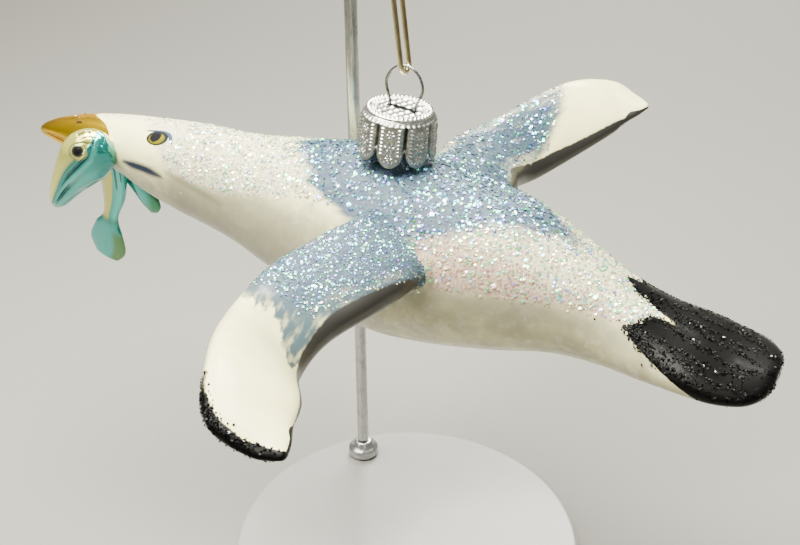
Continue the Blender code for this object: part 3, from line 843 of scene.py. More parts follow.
def flakes(rng, name, place, facing, size, tilt, tints, foil, material, lift=0.06):
    """Six-sided flakes as flat double fans, one at each place, as one mesh.

    Each flake's normal is the skin's, tilted by a random sideways vector of length up to tilt.
    The rim's corners lie on a circle about it, and a point stands just above and below the middle.
    The map for baking gives a flake a small patch at its root's place on the gull, seen from above
    for its upper half and from below for its lower.
    """
    count = len(place)
    sideways = rng.normal(size=(count, 3))
    sideways = unit(sideways - (sideways * facing).sum(1, keepdims=True) * facing)
    normal = unit(facing + sideways * (tilt * np.sqrt(rng.random(count)))[:, None])
    first = unit(np.cross(normal, rng.normal(size=(count, 3))))
    second = np.cross(normal, first)
    turn = full_turn(FLAKE_SIDES)
    rim = (np.cos(turn)[None, :, None] * first[:, None] + np.sin(turn)[None, :, None] * second[:, None])
    centre = place + facing * (lift + 0.35 * size * tilt)[:, None]
    thick = normal * (FLAKE_THICK * size)[:, None]
    points = np.concatenate([centre[:, None] + rim * size[:, None, None],
                             (centre + thick)[:, None], (centre - thick)[:, None]], axis=1)
    ring = np.arange(FLAKE_SIDES)
    after, top = np.roll(ring, -1), 0 * ring + FLAKE_SIDES
    fan = np.vstack([np.stack([ring, after, top], axis=1), np.stack([after, ring, top + 1], axis=1)])
    corners = FLAKE_SIDES + 2
    faces = (np.arange(count)[:, None, None] * corners + fan[None]).reshape(-1, 3)
    mesh = build_mesh(name, to_world(points.reshape(-1, 3)), faces)
    store(mesh, "tint", np.repeat(tints, corners, axis=0))
    store(mesh, "foil", np.repeat(foil, corners))

    home = (place[:, :2] + MAP_START) / MAP_SPREAD
    home[:, 1] += np.where(facing[:, 2] < 0, 0.5, 0.0)
    patch = np.vstack([np.stack([np.cos(turn), np.sin(turn)], axis=1), np.zeros((2, 2))]) * MAP_PATCH
    layer = mesh.uv_layers.new(name="OFBake")
    corner_map = home[:, None, None] + patch[fan][None]
    layer.data.foreach_set("uv", corner_map.astype(np.float32).ravel())
    return add_piece(name, mesh, material, smooth=False)


# Colours that the glitter breaks light into, and how often each shows on blue and on pale paint
SPECTRUM = np.array([[0.10, 0.90, 0.62], [0.10, 0.72, 0.95], [0.16, 0.28, 1.0], [0.42, 0.25, 1.0],
                     [0.12, 0.90, 0.22], [0.95, 0.90, 0.30], [1.0, 0.55, 0.50], [0.75, 1.0, 0.95]])
ON_BLUE = np.array([0.28, 0.24, 0.12, 0.08, 0.12, 0.0, 0.0, 0.16])
ON_PALE = np.array([0.14, 0.05, 0.04, 0.05, 0.22, 0.28, 0.08, 0.14])
COLOURED_SHARE = 0.42
BIG_SHARE, BIG = 0.08, 1.35         # share of larger grains, and how much larger they are


def glitter_tints(rng, base, blue):
    """Grains near the colour of the paint beneath, and a share in colours of the spectrum.

    Gives each grain's tint, its share of bare foil and whether it is coloured. On blue the coloured
    grains are deep and mostly foil; on the pale paint they are near white.
    """
    count = len(base)
    tint = base * rng.uniform(0.9, 1.3, (count, 1)) * (1 + blue * rng.uniform(0.0, 3.0, (count, 1)))
    on_blue = SPECTRUM[rng.choice(len(SPECTRUM), count, p=ON_BLUE)] * 0.88 + 0.12
    on_blue = on_blue * rng.uniform(0.4, 1.0, (count, 1))
    on_pale = SPECTRUM[rng.choice(len(SPECTRUM), count, p=ON_PALE)] * 0.72 + 0.28
    coloured = rng.random((count, 1)) < COLOURED_SHARE
    tint = np.where(coloured, np.where(rng.random((count, 1)) < blue, on_blue, on_pale), tint)
    foil = np.where(coloured, 0.8, 0.6) * blue + np.where(coloured, 0.55, 0.3) * (1 - blue)
    return np.clip(tint, 0, 1), foil[:, 0], coloured[:, 0]


def glitter_coat(skin, silver_flake, black_flake):
    """Glitter on the back, neck, flanks and wings, and black glitter on the tail and the wing tips."""
    rng = np.random.default_rng(SEED)
    points, _, _, fields = skin
    x, right = points[:, 0], points[:, 1] > 0
    on_wing = fields["wing"] > 0.5
    covered = ease(-1.0, 1.2, fields["glitter"]) * ease(0.3, -0.2, fields["black"])
    from_eye = np.hypot(x - EYE_PLACE - 0.6, (body_place(points) - EYE_ANGLE + 3) * 0.14)
    covered = covered * np.where(on_wing, 1, ease(3.2, 4.4, from_eye))
    thin_front = np.where(on_wing, 1.0, ease(-56, -34, x) * 0.75 + 0.25)
    for name, zone, density, small, large in (
            ("glitter_back", ~on_wing & (x < 8), 2.5, 0.14, 0.27),
            ("glitter_rump", ~on_wing & (x >= 8), 3.2, 0.14, 0.26),
            ("glitter_wing_left", on_wing & ~right, 6.2, 0.085, 0.155),
            ("glitter_wing_right", on_wing & right, 1.6, 0.16, 0.29)):
        place, facing, near = scatter(rng, skin, zone * covered * thin_front * density)
        size = rng.uniform(small, large, len(place)) * np.where(rng.random(len(place)) < BIG_SHARE, BIG, 1.0)
        blue = ease(-2, 2, fields["blue"][near])[:, None]
        pink = ease(-1, 2, fields["pink"][near])[:, None] * (1 - blue)
        frost, rose, sky = (np.array(paint[:3]) for paint in (FROST, ROSE, BLUE))
        base = frost * (1 - blue - pink) + sky * 1.25 * blue + rose * pink
        tints, foil, coloured = glitter_tints(rng, base, blue)
        size = size * np.where(coloured, 1.3, 0.92)
        flakes(rng, name, place, facing, size, 0.5, tints, foil, silver_flake)

    place, facing, _ = scatter(rng, skin, black_density(points, fields))
    count = len(place)
    size = rng.uniform(0.10, 0.20, count)
    tints = np.full((count, 3), 0.006) * rng.uniform(0.3, 2.0, (count, 1))
    tints = np.where(rng.random((count, 1)) < 0.012, 0.25, tints)
    flakes(rng, "glitter_black", place, facing, size, 0.7, tints, np.full(count, 0.95), black_flake,
           lift=0.08)


# Lines of black glitter along the tail: place, distance from the middle; and below, angle from the ridge
TAIL_LINES = [
    [(42, 5.6), (48, 7.8), (54, 8.6), (58.6, 9.3), (62.7, 9.3), (66, 8.6)],
    [(47, 2.0), (49.5, 2.6), (52.6, 3.7), (57, 4.0), (61.4, 4.9), (63.8, 4.9), (66.5, 3.8)],
    [(44, 0.5), (46.8, 0.6), (51, 1.3), (54, 0.5), (58.4, 1.0), (61.5, 1.0), (65.4, 1.7), (68.5, 2.4)],
    [(46.5, 7.0), (51.5, 6.8), (56.7, 7.5), (59.7, 7.3), (64.8, 6.3)],
]
TAIL_RIM = [(46, 50), (50.6, 59), (52.8, 67), (58.3, 69), (60.3, 76), (63.8, 77), (66.2, 74), (68.4, 70)]


def black_density(points, fields):
    """Black glitter: lines along the tail, its ragged edges, and the outer leading edge of each wing."""
    x, y, _ = points.T
    inside, angle = fields["black"], body_place(points)
    wander = 0.25 * np.sin(x * 1.7 + 0.6) + 0.2 * np.sin(x * 0.83 + y)
    lines = 0.0
    for line in TAIL_LINES:
        start, end = line[0][0], line[-1][0]
        reach = band(x, start - 0.5, start + 0.5, end, end + 0.5)
        lines = lines + hill(np.abs(y), along(line, x) - wander, 0.30) * reach
    rim = hill((angle - along(TAIL_RIM, x)) * DEGREE * 9, -wander, 0.7) * ease(45, 47, x)
    edge = hill(inside, 0.1, 0.4)
    tip = hill(x, 68.8, 0.5) * 5
    upper = np.where(angle < 85, lines * 17 + edge * 10 * ease(54, 48, x), 0)
    stray = ease(36, 46, x)
    tail = (upper + rim * 12 + edge * 2 + tip) * ease(43, 45, x) + 0.03 * stray
    tail = tail * ease(-0.7, 0.1, inside) * 1.25 + 0.04 * stray * ease(130, 90, angle)
    length, chord, _ = wing_place(points)
    lead = band(length, 60.0, 62.5, 73.5, 74.8) * ease(0.3, -0.3, chord)
    wing = lead * (hill(inside, 0.75, 0.5) * 28 + ease(0.0, 0.5, inside) * 3) * (y < 0)
    return np.where(fields["wing"] > 0.5, wing, tail)


# ---- painted marks on the head

def mixed(share, first, second):
    """Colours mixed by a share at each point."""
    return first * (1 - share[..., None]) + second * share[..., None]


def layered(colour, *coats):
    """Colours painted over each other, each by its share at each point."""
    for share, paint in coats:
        colour = mixed(share, colour, np.array(paint))
    return colour


def ribbon(name, line, widths, paint, material, side, lift=0.05, rows=60):
    """A brush stroke on the body: a long oval pad of paint.

    line is a list of (place along X, angle from the ridge). The pad's width follows the given
    half widths, and its top is a low dome over the body's surface.
    """
    x, angle, wide = flowing([(*row, wide) for row, wide in zip(line, widths)], rows).T
    turn = full_turn(12)
    centre = body_at(x, angle)
    out = unit(body_at(x, angle, 1.0) - centre)
    across = unit(np.cross(unit(np.gradient(centre, axis=0)), out))
    rounded_ends = np.sqrt(np.clip(1 - np.linspace(-1, 1, rows) ** 6, 0.0004, 1))
    rings = rings_about(centre, across, np.cos(turn)[None] * (wide * rounded_ends)[:, None],
                        out, np.maximum(np.sin(turn), -0.6)[None] * lift * rounded_ends[:, None])
    mesh = tube_mesh(name, rings * (1, side, 1))
    if side < 0:
        mesh.flip_normals()
    store(mesh, "paint", np.tile(paint, (len(mesh.vertices), 1)))
    return add_piece(name, mesh, material)


EYE_PLACE, EYE_ANGLE = -48.6, 38.0
EYE_LONG, EYE_HIGH, EYE_SLANT = 2.6, 1.5, 0.16
HEAD_RADIUS = 7.75                  # of the head where the eye sits


def painted_eye(name, side, material):
    """An oval of enamel on the side of the head.

    It is a disc of rings from the pupil's middle to the rim, laid on the body by place and angle,
    raised in the middle. Its colours change with the distance from the middle: black pupil,
    streaked yellow green iris, dark outline.
    """
    share, turn = np.linspace(0, 1, 34)[1:, None], full_turn(72)
    u, v = share * np.cos(turn)[None], share * np.sin(turn)[None]
    x = EYE_PLACE + u * EYE_LONG
    angle = EYE_ANGLE - np.degrees((v * EYE_HIGH + EYE_SLANT * u) / HEAD_RADIUS)
    dome = 0.04 + 0.09 * np.sqrt(np.clip(1 - share ** 2, 0, 1)) + 0 * u
    top = body_at(x, angle, dome - SKIN_INSET)
    floor = body_at(x[::-1], angle[::-1], -SKIN_INSET - 0.12)
    middle = body_at(np.array([EYE_PLACE]), EYE_ANGLE, 0.13 - SKIN_INSET)
    rings = np.concatenate([np.broadcast_to(middle, (1, len(turn), 3)) * 0.98 + top[:1] * 0.02, top, floor])
    mesh = tube_mesh(name, rings * (1, side, 1))
    if side > 0:
        mesh.flip_normals()
    rng = np.random.default_rng(SEED + 1)
    streak = 0.75 + 0.35 * np.interp(turn, np.linspace(0, math.tau, 19), rng.random(19))[None] + 0 * u
    iris = np.array([0.16, 0.145, 0.003]) * (streak * (1 - 0.45 * ease(0.45, 0.95, share)))[..., None]
    pupil = np.hypot((u + 0.16) * EYE_LONG * 0.85, (v - 0.10) * EYE_HIGH)
    colour = layered(iris, (ease(1.18, 0.98, pupil), (0.008, 0.008, 0.01)),
                     (ease(0.69, 0.78, share + EYE_SLANT * v), (0.014, 0.015, 0.018))).reshape(-1, 3)
    under = np.full((len(floor) * len(turn), 3), 0.03)
    store(mesh, "paint", np.vstack([colour[:len(turn)], colour, under, colour[:1], under[:1]]))
    return add_piece(name, mesh, material)


# Brush strokes on each side of the head: line, half widths, paint, height, rows, slot
STROKES = {
    "lid": ([(-52.4, 29.5), (-50.8, 28.5), (-48.4, 26.5), (-46.4, 29), (-45.1, 36), (-44.3, 43)],
            (0.06, 0.20, 0.22, 0.34, 0.38, 0.06), (0.045, 0.068, 0.105), 0.11, 80, "pearl_white_glass"),
    "nostril": ([(-72.4, 39), (-71.4, 38), (-70.3, 38)],
                (0.14, 0.30, 0.14), (0.035, 0.02, 0.01), 0.04, 24, "amber_glass"),
    "bill_line": ([(-82.5, 98), (-77, 103), (-71, 108), (-65, 113), (-61, 115)],
                  (0.08, 0.2, 0.24, 0.22, 0.08), (0.16, 0.065, 0.01), -0.12, 60, "amber_glass"),
}


def head_marks(material):
    """Eye, lid line, nostril and the bill's dark line on both sides of the head."""
    for side, word in ((-1, "left"), (1, "right")):
        painted_eye(f"eye_{word}", side, material)
        for name, (line, widths, paint, lift, rows, slot) in STROKES.items():
            ribbon(f"{name}_{word}", line, widths, paint, material, side, lift, rows)


# ---- fish

# Middle line, half width and half thickness of each part
FISH_FRONT = [(-59.2, -6.0, -21.4, 1.9, 1.6), (-60.6, -7.0, -22.6, 4.2, 3.0), (-64.1, -8.2, -25.6, 5.3, 3.8),
              (-68.0, -9.2, -31.0, 3.7, 2.9), (-70.9, -9.8, -36.0, 2.2, 1.8), (-72.0, -10.0, -38.1, 0.8, 0.7)]
FISH_REAR = [(-68.2, 2.0, -27.5, 3.2, 2.1), (-68.5, 3.2, -33.0, 3.6, 2.1), (-69.1, 4.0, -39.5, 3.1, 1.7),
             (-70.4, 4.0, -45.4, 2.0, 1.1), (-71.3, 4.0, -49.2, 3.9, 1.0), (-71.9, 4.0, -53.4, 5.1, 0.8),
             (-72.5, 4.0, -57.0, 2.8, 0.6)]
FISH_FIN = [(-66.9, 5.6, -34.6, 1.9, 0.9), (-64.2, 5.9, -36.5, 2.4, 1.0), (-61.0, 6.0, -39.4, 2.6, 0.9),
            (-58.8, 6.0, -42.0, 1.5, 0.5)]
# On the near half: share of the length, angle round it where pale yellow gives way to teal
FISH_SEAM = [(0.0, 180), (0.06, 190), (0.10, 203), (0.20, 243), (0.29, 258), (0.41, 265), (0.54, 263),
             (0.69, 267), (1.0, 262)]
REAR_SEAM = [(0, 300), (0.2, 297), (0.32, 288), (0.44, 284), (0.56, 274), (1.0, 200)]
GILL_LINES = [((0.14, 0.31), [(0.15, 212), (0.22, 200), (0.29, 206)]),
              ((0.13, 0.29), [(0.15, 233), (0.21, 222), (0.27, 223)]),
              ((0.17, 0.33), [(0.19, 247), (0.26, 235), (0.34, 233)])]
LEMON = np.array([0.92, 0.90, 0.20])
TEAL = np.array([0.012, 0.27, 0.245])
# Lighter mint laid where the fish shows highlights: painted highlight
PAINTED_HIGHLIGHT_MINT = np.array([0.10, 0.64, 0.56])
# Dark teal: painted shade in the mouth's hollows and where the fish goes into the bill
PAINTED_SHADE_TEAL = np.array([0.004, 0.06, 0.07])
SNOUT_GREEN = np.array([0.02, 0.17, 0.07])
FIN_OLIVE = np.array([0.08, 0.19, 0.03])


def fish_grid(joints, flat_axis, rows, columns, relief_of=None):
    """Oval rings along a middle line, thin along flat_axis, pushed outwards by a relief function."""
    table = flowing(joints, rows)
    middle = table[:, :3]
    ahead = np.gradient(middle, axis=0)
    side = unit(np.cross(ahead, flat_axis))
    thin = unit(np.cross(side, ahead))
    turn = full_turn(columns)
    share, degrees = np.linspace(0, 1, rows)[:, None], np.degrees(turn)[None]
    taper = np.clip(np.minimum(share, 1 - share) * rows / 6, 0, 1) ** 0.5
    push = relief_of(share, degrees) if relief_of else 0 * share * degrees
    wide, thick = (table[:, k:k + 1] * taper + push - SKIN_INSET * 0.5 for k in (3, 4))
    rings = rings_about(middle, side, np.cos(turn)[None] * wide, thin, np.sin(turn)[None] * thick)
    return rings, share, degrees


def fish_piece(name, node_name, rings, colour, material):
    """A closed tube of the rings, with a colour for each of their points kept on it."""
    mesh = tube_mesh(name, rings)
    flat = colour.reshape(-1, 3)
    store(mesh, "paint", np.vstack([flat, flat[:1], flat[-1:]]))
    return add_piece(name, mesh, material, replaces=(node_name,))


def gill_mask(share, degrees, width):
    """Three curved lines over the cheek, each with its own reach along the fish."""
    total = 0 * share * degrees
    for (start, end), line in GILL_LINES:
        reach = band(share, start - 0.015, start + 0.02, end - 0.02, end + 0.015)
        total = np.maximum(total, hill(degrees, along(line, share), width * reach + 0.01) * reach)
    return total


def mouth_line(share):
    """Angle round the fish of the line under the open mouth, past the seam."""
    return along(FISH_SEAM, share) + 34 - 12 * ease(0.5, 0.8, share)


def front_relief(share, degrees):
    """Lips along the seam, the open mouth's hollow between them, the eye's socket and gill lines."""
    seam = along(FISH_SEAM, share)
    reach = band(share, 0.10, 0.24, 0.80, 0.95)
    upper = hill(degrees, seam + 4, 5) * 0.24
    lower = hill(degrees, seam + 21 - 6 * share, 7) * 0.42
    hollow = hill(degrees, seam + 12, 5) * 0.42 * band(share, 0.2, 0.34, 0.5, 0.62)
    mouth = hill(degrees, mouth_line(share), 6) * 0.45 * hill(share, 0.66, 0.15)
    socket = hill(share, 0.325, 0.07) * hill(degrees, 249, 15) * 0.22
    waves = 0.06 * np.sin(np.radians(degrees) * 9 + share * 14) * ease(275, 300, degrees)
    gills = 0.05 * gill_mask(share, degrees, 3.2)
    return (upper + lower - hollow - mouth) * reach + socket - gills + waves * reach


def fish(material):
    """The fish across the bill: head half on the left, tail half and a fin on the right."""
    rings, share, degrees = fish_grid(FISH_FRONT, (0, 1, 0.2), 190, 200, front_relief)
    seam, bow = along(FISH_SEAM, share), np.cos(np.radians(degrees))
    yellow = ease(seam + 2, seam - 6, degrees) * ease(60, 110, degrees)
    # Painted shade in the open mouth's hollows, where the relief sinks
    dark = (hill(degrees, seam + 12, 5) * band(share, 0.2, 0.34, 0.5, 0.62)
            + hill(degrees, mouth_line(share), 5) * hill(share, 0.68, 0.15))
    from_eye = np.hypot((share - 0.328) * 24.0, np.radians(degrees - 249) * 4.4)
    colour = layered(
        TEAL + 0 * rings, (yellow, LEMON),
        (hill(degrees, seam - 6, 7) * 0.35 * ease(0.25, 0.4, share), TEAL),
        # Painted highlight in mint along the lower lip and over the lower jaw
        (hill(degrees, seam + 21, 8) * 0.65 * (1 - yellow), PAINTED_HIGHLIGHT_MINT),
        (hill(degrees, seam + 46, 16) * 0.40 * (1 - yellow) * ease(0.2, 0.45, share), PAINTED_HIGHLIGHT_MINT),
        # Painted shade in the mouth's hollows, and where the fish goes into the bill
        (np.clip(dark, 0, 1) * 0.9, PAINTED_SHADE_TEAL),
        (ease(0.14, 0.04, share) * (1 - yellow) * 0.5, PAINTED_SHADE_TEAL * 3),
        (ease(0.86, 0.94, share + 0.02 * bow), SNOUT_GREEN),
        (gill_mask(share, degrees, 3.6) * 0.95, (0.045, 0.045, 0.012)),
        (ease(1.75, 1.55, from_eye), (0.74, 0.76, 0.24)),
        (hill(from_eye, 1.52, 0.10) * 0.75, (0.12, 0.15, 0.05)),
        (ease(1.12, 0.95, from_eye), (0.07, 0.07, 0.05)),
        (ease(0.80, 0.60, from_eye), (0.012, 0.012, 0.014)))
    fish_piece("fish_head_half", "fish_front", rings, colour, material)

    rings, share, degrees = fish_grid(FISH_REAR, (0, 1, 0), 200, 128)
    seam, bow = along(REAR_SEAM, share), np.cos(np.radians(degrees))
    yellow = (ease(seam + 3, seam - 5, degrees) * ease(120, 160, degrees)
              * ease(0.57, 0.51, share))
    marks = (ease(5, 2.5, np.abs(degrees - 309)) * band(share, 0.09, 0.12, 0.26, 0.29)
             + ease(5, 2.5, np.abs(degrees - 331)) * band(share, 0.12, 0.15, 0.21, 0.24))
    colour = layered(
        TEAL * 1.1 + 0 * rings, (yellow, LEMON * 0.62),
        # Painted highlight in mint over the tail half's middle and over its tail fin
        (hill(degrees, 322, 26) * (1 - yellow) * ease(0.62, 0.48, share) * 0.8, PAINTED_HIGHLIGHT_MINT),
        (ease(0.56, 0.64, share) * 0.25, PAINTED_HIGHLIGHT_MINT),
        (hill(share, 0.54, 0.035) * 0.5, SNOUT_GREEN),
        (ease(0.25, 0.60, bow) * ease(0.60, 0.72, share) * 0.9, FIN_OLIVE),
        (np.clip(marks, 0, 1) * 0.9, (0.015, 0.05, 0.05)))
    fish_piece("fish_tail_half", "fish_rear", rings, colour, material)

    rings, share, degrees = fish_grid(FISH_FIN, (0, 1, 0), 90, 80)
    tip = ease(0.52, 0.88, share + 0.16 * np.cos(np.radians(degrees)))
    colour = layered(TEAL * 1.15 + 0 * rings, (tip, SNOUT_GREEN * 1.3),
                     # Painted highlight in mint along the fin
                     (hill(degrees, 265, 40) * 0.5 * (1 - tip), PAINTED_HIGHLIGHT_MINT))
    fish_piece("fish_side_fin", "fish_fin", rings, colour, material)


# ---- cap, ring and hook

CAP_DISC = 5.65                     # radius of the disc
CAP_WALL = 0.3
SKIRT_TOP, SKIRT_HEM = 6.2, 6.55    # radii of the skirt
SKIRT_START, SKIRT_END = -0.80, -8.3
PETALS = 8
PETAL_TURN = math.radians(-5)
PETAL_SWELL = 0.42
HEM_RISE = 2.2
SLOT = (5.6, 1.2)
RING_SHIFT = 0.4
HOOK_WIRE, RING_WIRE = 0.45, 0.25   # radii


def petal_share(turn):
    """1 at a petal's middle, 0 between petals."""
    return np.abs(np.sin((turn - PETAL_TURN) * PETALS / 2))


def hem_height(turn):
    """The skirt's lower edge: lowest at a petal's middle, risen between petals."""
    return SKIRT_END + HEM_RISE * (1 - petal_share(turn)) ** 1.2


def petal_pattern(turn, z):
    """Height of the pattern pressed into a petal, from 0 to 1.

    Two columns of beads run down its sides, a row of beads follows its hem, and a six-leaved
    flower with a smaller one above and below fills its middle. across is the distance from it.
    """
    across = (np.mod((turn - PETAL_TURN) * PETALS / math.tau, 1) - 0.5) * 5.0
    beat = 0.5 + 0.5 * np.cos(z * math.tau / 0.62 - np.abs(across) * 1.2)
    above_hem = z - hem_height(turn)
    columns = hill(np.abs(across), 1.45, 0.36) * beat * ease(1.0, 1.5, above_hem)
    row = hill(above_hem, 0.85, 0.26) * (0.55 + 0.45 * np.cos(across * math.tau / 0.6))
    total = np.maximum(columns, row)
    for height, reach in ((-6.6, 0.42), (-4.7, 0.66), (-2.6, 0.48)):
        away = np.hypot(across, z - height)
        leaves = hill(away, reach, reach * 0.5) * (0.5 + 0.5 * np.cos(6 * np.arctan2(z - height, across)))
        total = np.maximum(total, np.maximum(leaves, hill(away, 0, 0.16)))
    return total * ease(-1.35, -1.6, z)


def disc_pattern(turn, radius):
    """Height in millimetres of the disc's roped rim, bead row, dimples and ripples."""
    x, y = radius * np.cos(turn), radius * np.sin(turn)
    rope = hill(radius, CAP_DISC - 0.45, 0.28) * (0.16 + 0.14 * np.cos(turn * 44))
    beads = hill(radius, CAP_DISC - 1.15, 0.16) * (0.07 + 0.07 * np.cos(turn * 36))
    dimples = sum(np.exp(-((x - sign * 3.95) ** 2 + (y - sign * 1.55) ** 2) / 0.6 ** 2) for sign in (-1, 1))
    waves = 0.07 * np.sin(x * 3.1 + y * 1.3) * np.cos(y * 2.7 - x)
    ripple = waves * ease(CAP_DISC - 0.9, CAP_DISC - 1.5, radius)
    return rope + beads + ripple - 0.42 * dimples - 0.10 * ease(CAP_DISC - 0.15, CAP_DISC, radius)


def cap_rings(columns):
    """The cap's surface as rings: out over the disc, down the embossed skirt and back up inside.

    The skirt's radius swells over each petal, with its pattern on it, and grooves part the petals.
    """
    turn = full_turn(columns)[None]
    petal, hem = petal_share(turn), hem_height(turn)
    reach = np.linspace(0.15, CAP_DISC, 56)[:, None]
    disc = circling(reach, turn, disc_pattern(turn, reach))
    drop = np.linspace(0, 1, 12)[:, None]
    neck = circling(CAP_DISC + 0.05 - 0.28 * np.sin(drop * math.pi), turn, -0.12 - 0.62 * drop)

    fall = np.linspace(0, 1, 104)[:, None]
    z = SKIRT_START + fall * (hem - SKIRT_START)
    top = CAP_DISC + 0.1
    base = top + (SKIRT_TOP - CAP_DISC - 0.1) * ease(0, 0.07, fall) + (SKIRT_HEM - SKIRT_TOP) * fall
    swell = PETAL_SWELL * (petal ** 0.6 - 0.6) * ease(0.02, 0.2, fall)
    groove = -0.34 * hill(petal, 0, 0.13) * ease(0.03, 0.12, fall)
    collar = hill(z, -1.05, 0.22) * (0.10 + 0.10 * np.cos(turn * 40))
    skirt = circling(base + swell + groove + 0.28 * petal_pattern(turn, z) + collar, turn, z)

    back = np.linspace(0, 1, 14)[:, None]
    inner = (base[-1:] + swell[-1:] + groove[-1:]) * (1 - back) + (CAP_DISC - 0.25) * back - CAP_WALL
    lining = circling(inner, turn, hem * (1 - back) - 0.45 * back)
    ceiling = circling(np.linspace(CAP_DISC - 0.6, 0.15, 10)[:, None], turn, -0.45)
    return np.concatenate([disc, neck, skirt, lining, ceiling])


def cap_tarnish(mesh):
    """How dull the foil is at each point: most in the grooves and low parts of the pattern."""
    x, y, z = ((read_points(mesh) - HINGE) / MM @ PITCH - CAP_BELOW_HINGE).T
    turn, radius = np.arctan2(y, x), np.hypot(x, y)
    on_skirt = ease(-1.2, -1.5, z)
    skirt = np.clip(0.72 * (1 - petal_pattern(turn, z)) + 0.6 * hill(petal_share(turn), 0, 0.2), 0, 1)
    disc = ease(0.10, -0.12, disc_pattern(turn, radius)) * 0.8
    cut = ease(-0.05, -0.15, z) * (radius < 3.2)
    return np.maximum(skirt * on_skirt + disc * (1 - on_skirt), cut)


def cap(material):
    """The embossed cap with its slot cut through the disc."""
    shell = put("cap_shell", tube_mesh("cap_shell", cap_rings(448)[::-1]))
    corners = np.array([(x, y, z) for x in (-1, 1) for y in (-1, 1) for z in (-1, 1)], float)
    block = corners * (SLOT[0] / 2, SLOT[1] / 2, 2.0) + (RING_SHIFT, 0, 0)
    sides = np.array([(0, 1, 3, 2), (4, 6, 7, 5), (0, 4, 5, 1), (2, 3, 7, 6), (0, 2, 6, 4), (1, 5, 7, 3)])
    cutter = put("slot_block", build_mesh("slot_block", to_world(block), sides))
    cut = shell.modifiers.new("slot", "BOOLEAN")
    cut.solver = "EXACT"
    cut.object = cutter
    finished = applied(shell)
    bpy.data.objects.remove(shell)
    bpy.data.objects.remove(cutter)
    finished.set_sharp_from_angle(angle=math.radians(50))
    store(finished, "tarnish", cap_tarnish(finished))
    add_piece("crown_cap", finished, material, replaces=("cap",))


def tube(path, radius, columns, level):
    """A round wire: circles square to the path, with a spoke square to level too, smaller at the ends."""
    ahead = unit(np.gradient(path, axis=0))
    first = unit(np.cross(level, ahead))
    place = np.arange(len(path))
    ends = np.clip(np.minimum(place, place[::-1]) / 2, 0, 1) ** 0.5
    width, turn = (radius * (0.25 + 0.75 * ends))[:, None], full_turn(columns)[None]
    return rings_about(path, first, np.cos(turn) * width, np.cross(ahead, first), np.sin(turn) * width)


def ring_path():
    """Two feet in the slot, then a tall arch over the hook's bend, in the cap's XZ plane."""
    widest, half_width = 3.5, 3.4
    top = -CAP_BELOW_HINGE[2] + HOOK_WIRE + 0.3 + RING_WIRE
    arch = np.radians(np.arange(0, 181, 30))
    arch = np.stack([-half_width * np.cos(arch), 0 * arch, widest + (top - widest) * np.sin(arch)], axis=1)
    foot = np.array([(-2.2, 0, -4.2), (-2.2, 0, -1.2), (-2.5, 0, 0.9)])
    return flowing(np.vstack([foot, arch, foot[::-1] * (-1, 1, 1)]) + (RING_SHIFT, 0, 0), 220)


def hook_path():
    """In the world, in millimetres: near shank's end, narrow bend, far shank, crook over the arm."""
    bend, lean, crook_radius, length = 1.35, math.radians(6.8), 3.0, 36.0
    slant = np.array([-math.sin(lean), 0, math.cos(lean)])
    bottom = HINGE / MM
    side = np.array([0.0, bend, 0.0])
    centre = bottom + slant * bend
    rises = np.array([5.0, 10.0, 16.0])[:, None]
    turn = np.radians(np.arange(0, 181, 30))[:, None]
    post = sum(np.array(corner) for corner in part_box("stand_post")) / 2 / MM
    swing = unit(np.array([-post[1], post[0], 0.0]))
    crook = bottom * (0, 0, 1) + (0, 0, length - crook_radius)
    over = np.radians(np.arange(0, 211, 30))[:, None]
    return flowing(np.vstack([
        centre + side + slant * rises[::-1],
        centre + side * np.cos(turn) - slant * bend * np.sin(turn),
        centre - side + slant * rises,
        crook + swing * (crook_radius - 0.6) - (0, 0, 7),
        crook + swing * crook_radius * np.cos(over) + np.array([0, 0, crook_radius]) * np.sin(over)]), 420)


def wires(steel, gilt):
    """The ring, level with Y, and the hook, level with X, as round wires."""
    ring = tube_mesh("ring_wire", tube(ring_path(), RING_WIRE, 20, np.array([0.0, 1.0, 0.0])))
    add_piece("ring_wire", ring, steel, replaces=("ring",))
    rings = tube(hook_path(), HOOK_WIRE, 24, np.array([1.0, 0.0, 0.0]))
    hook = tube_mesh("hook_wire", rings, lambda points: points * MM)
    add_piece("hook_wire", hook, gilt, body="stand", replaces=("hook",))


# ---- stand

def turned(name, profile, columns, place, material, node_name, axis=(0, 0, 1), sharp=40):
    """A turned piece: a profile of (radius, height) carried round an axis from a place, in metres."""
    radius, height = np.array(profile, float).T[..., None]
    spin = np.array(Vector(axis).to_track_quat("Z", "Y").to_matrix())
    rings = circling(radius, full_turn(columns), height)
    mesh = tube_mesh(name, rings, lambda points: points @ spin.T + np.array(place))
    add_piece(name, mesh, material, body="stand", replaces=(node_name,))
    mesh.set_sharp_from_angle(angle=math.radians(sharp))


def rounded(corners, radius, steps=6):
    """A profile with its corners, other than the ends, rounded by an arc of Bezier steps."""
    corners = np.array(corners, float)
    path = [corners[0]]
    for before, corner, after in zip(corners, corners[1:], corners[2:]):
        into, out = unit(corner - before), unit(after - corner)
        cut = min(radius, np.linalg.norm(corner - before) / 2, np.linalg.norm(after - corner) / 2)
        t = np.linspace(0, 1, steps)[:, None]
        arc = (1 - t) ** 2 * (corner - into * cut) + 2 * t * (1 - t) * corner
        path.append(arc + t ** 2 * (corner + out * cut))
    return np.vstack([*path, corners[-1]])


def solid_size(node_name):
    """A solid's half width, height, the middle of its underside and its centre, from its own box."""
    low, high = (np.array(corner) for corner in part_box(node_name))
    middle = (low + high) / 2
    return (high[0] - low[0]) / 2, high[2] - low[2], (middle[0], middle[1], low[2]), middle


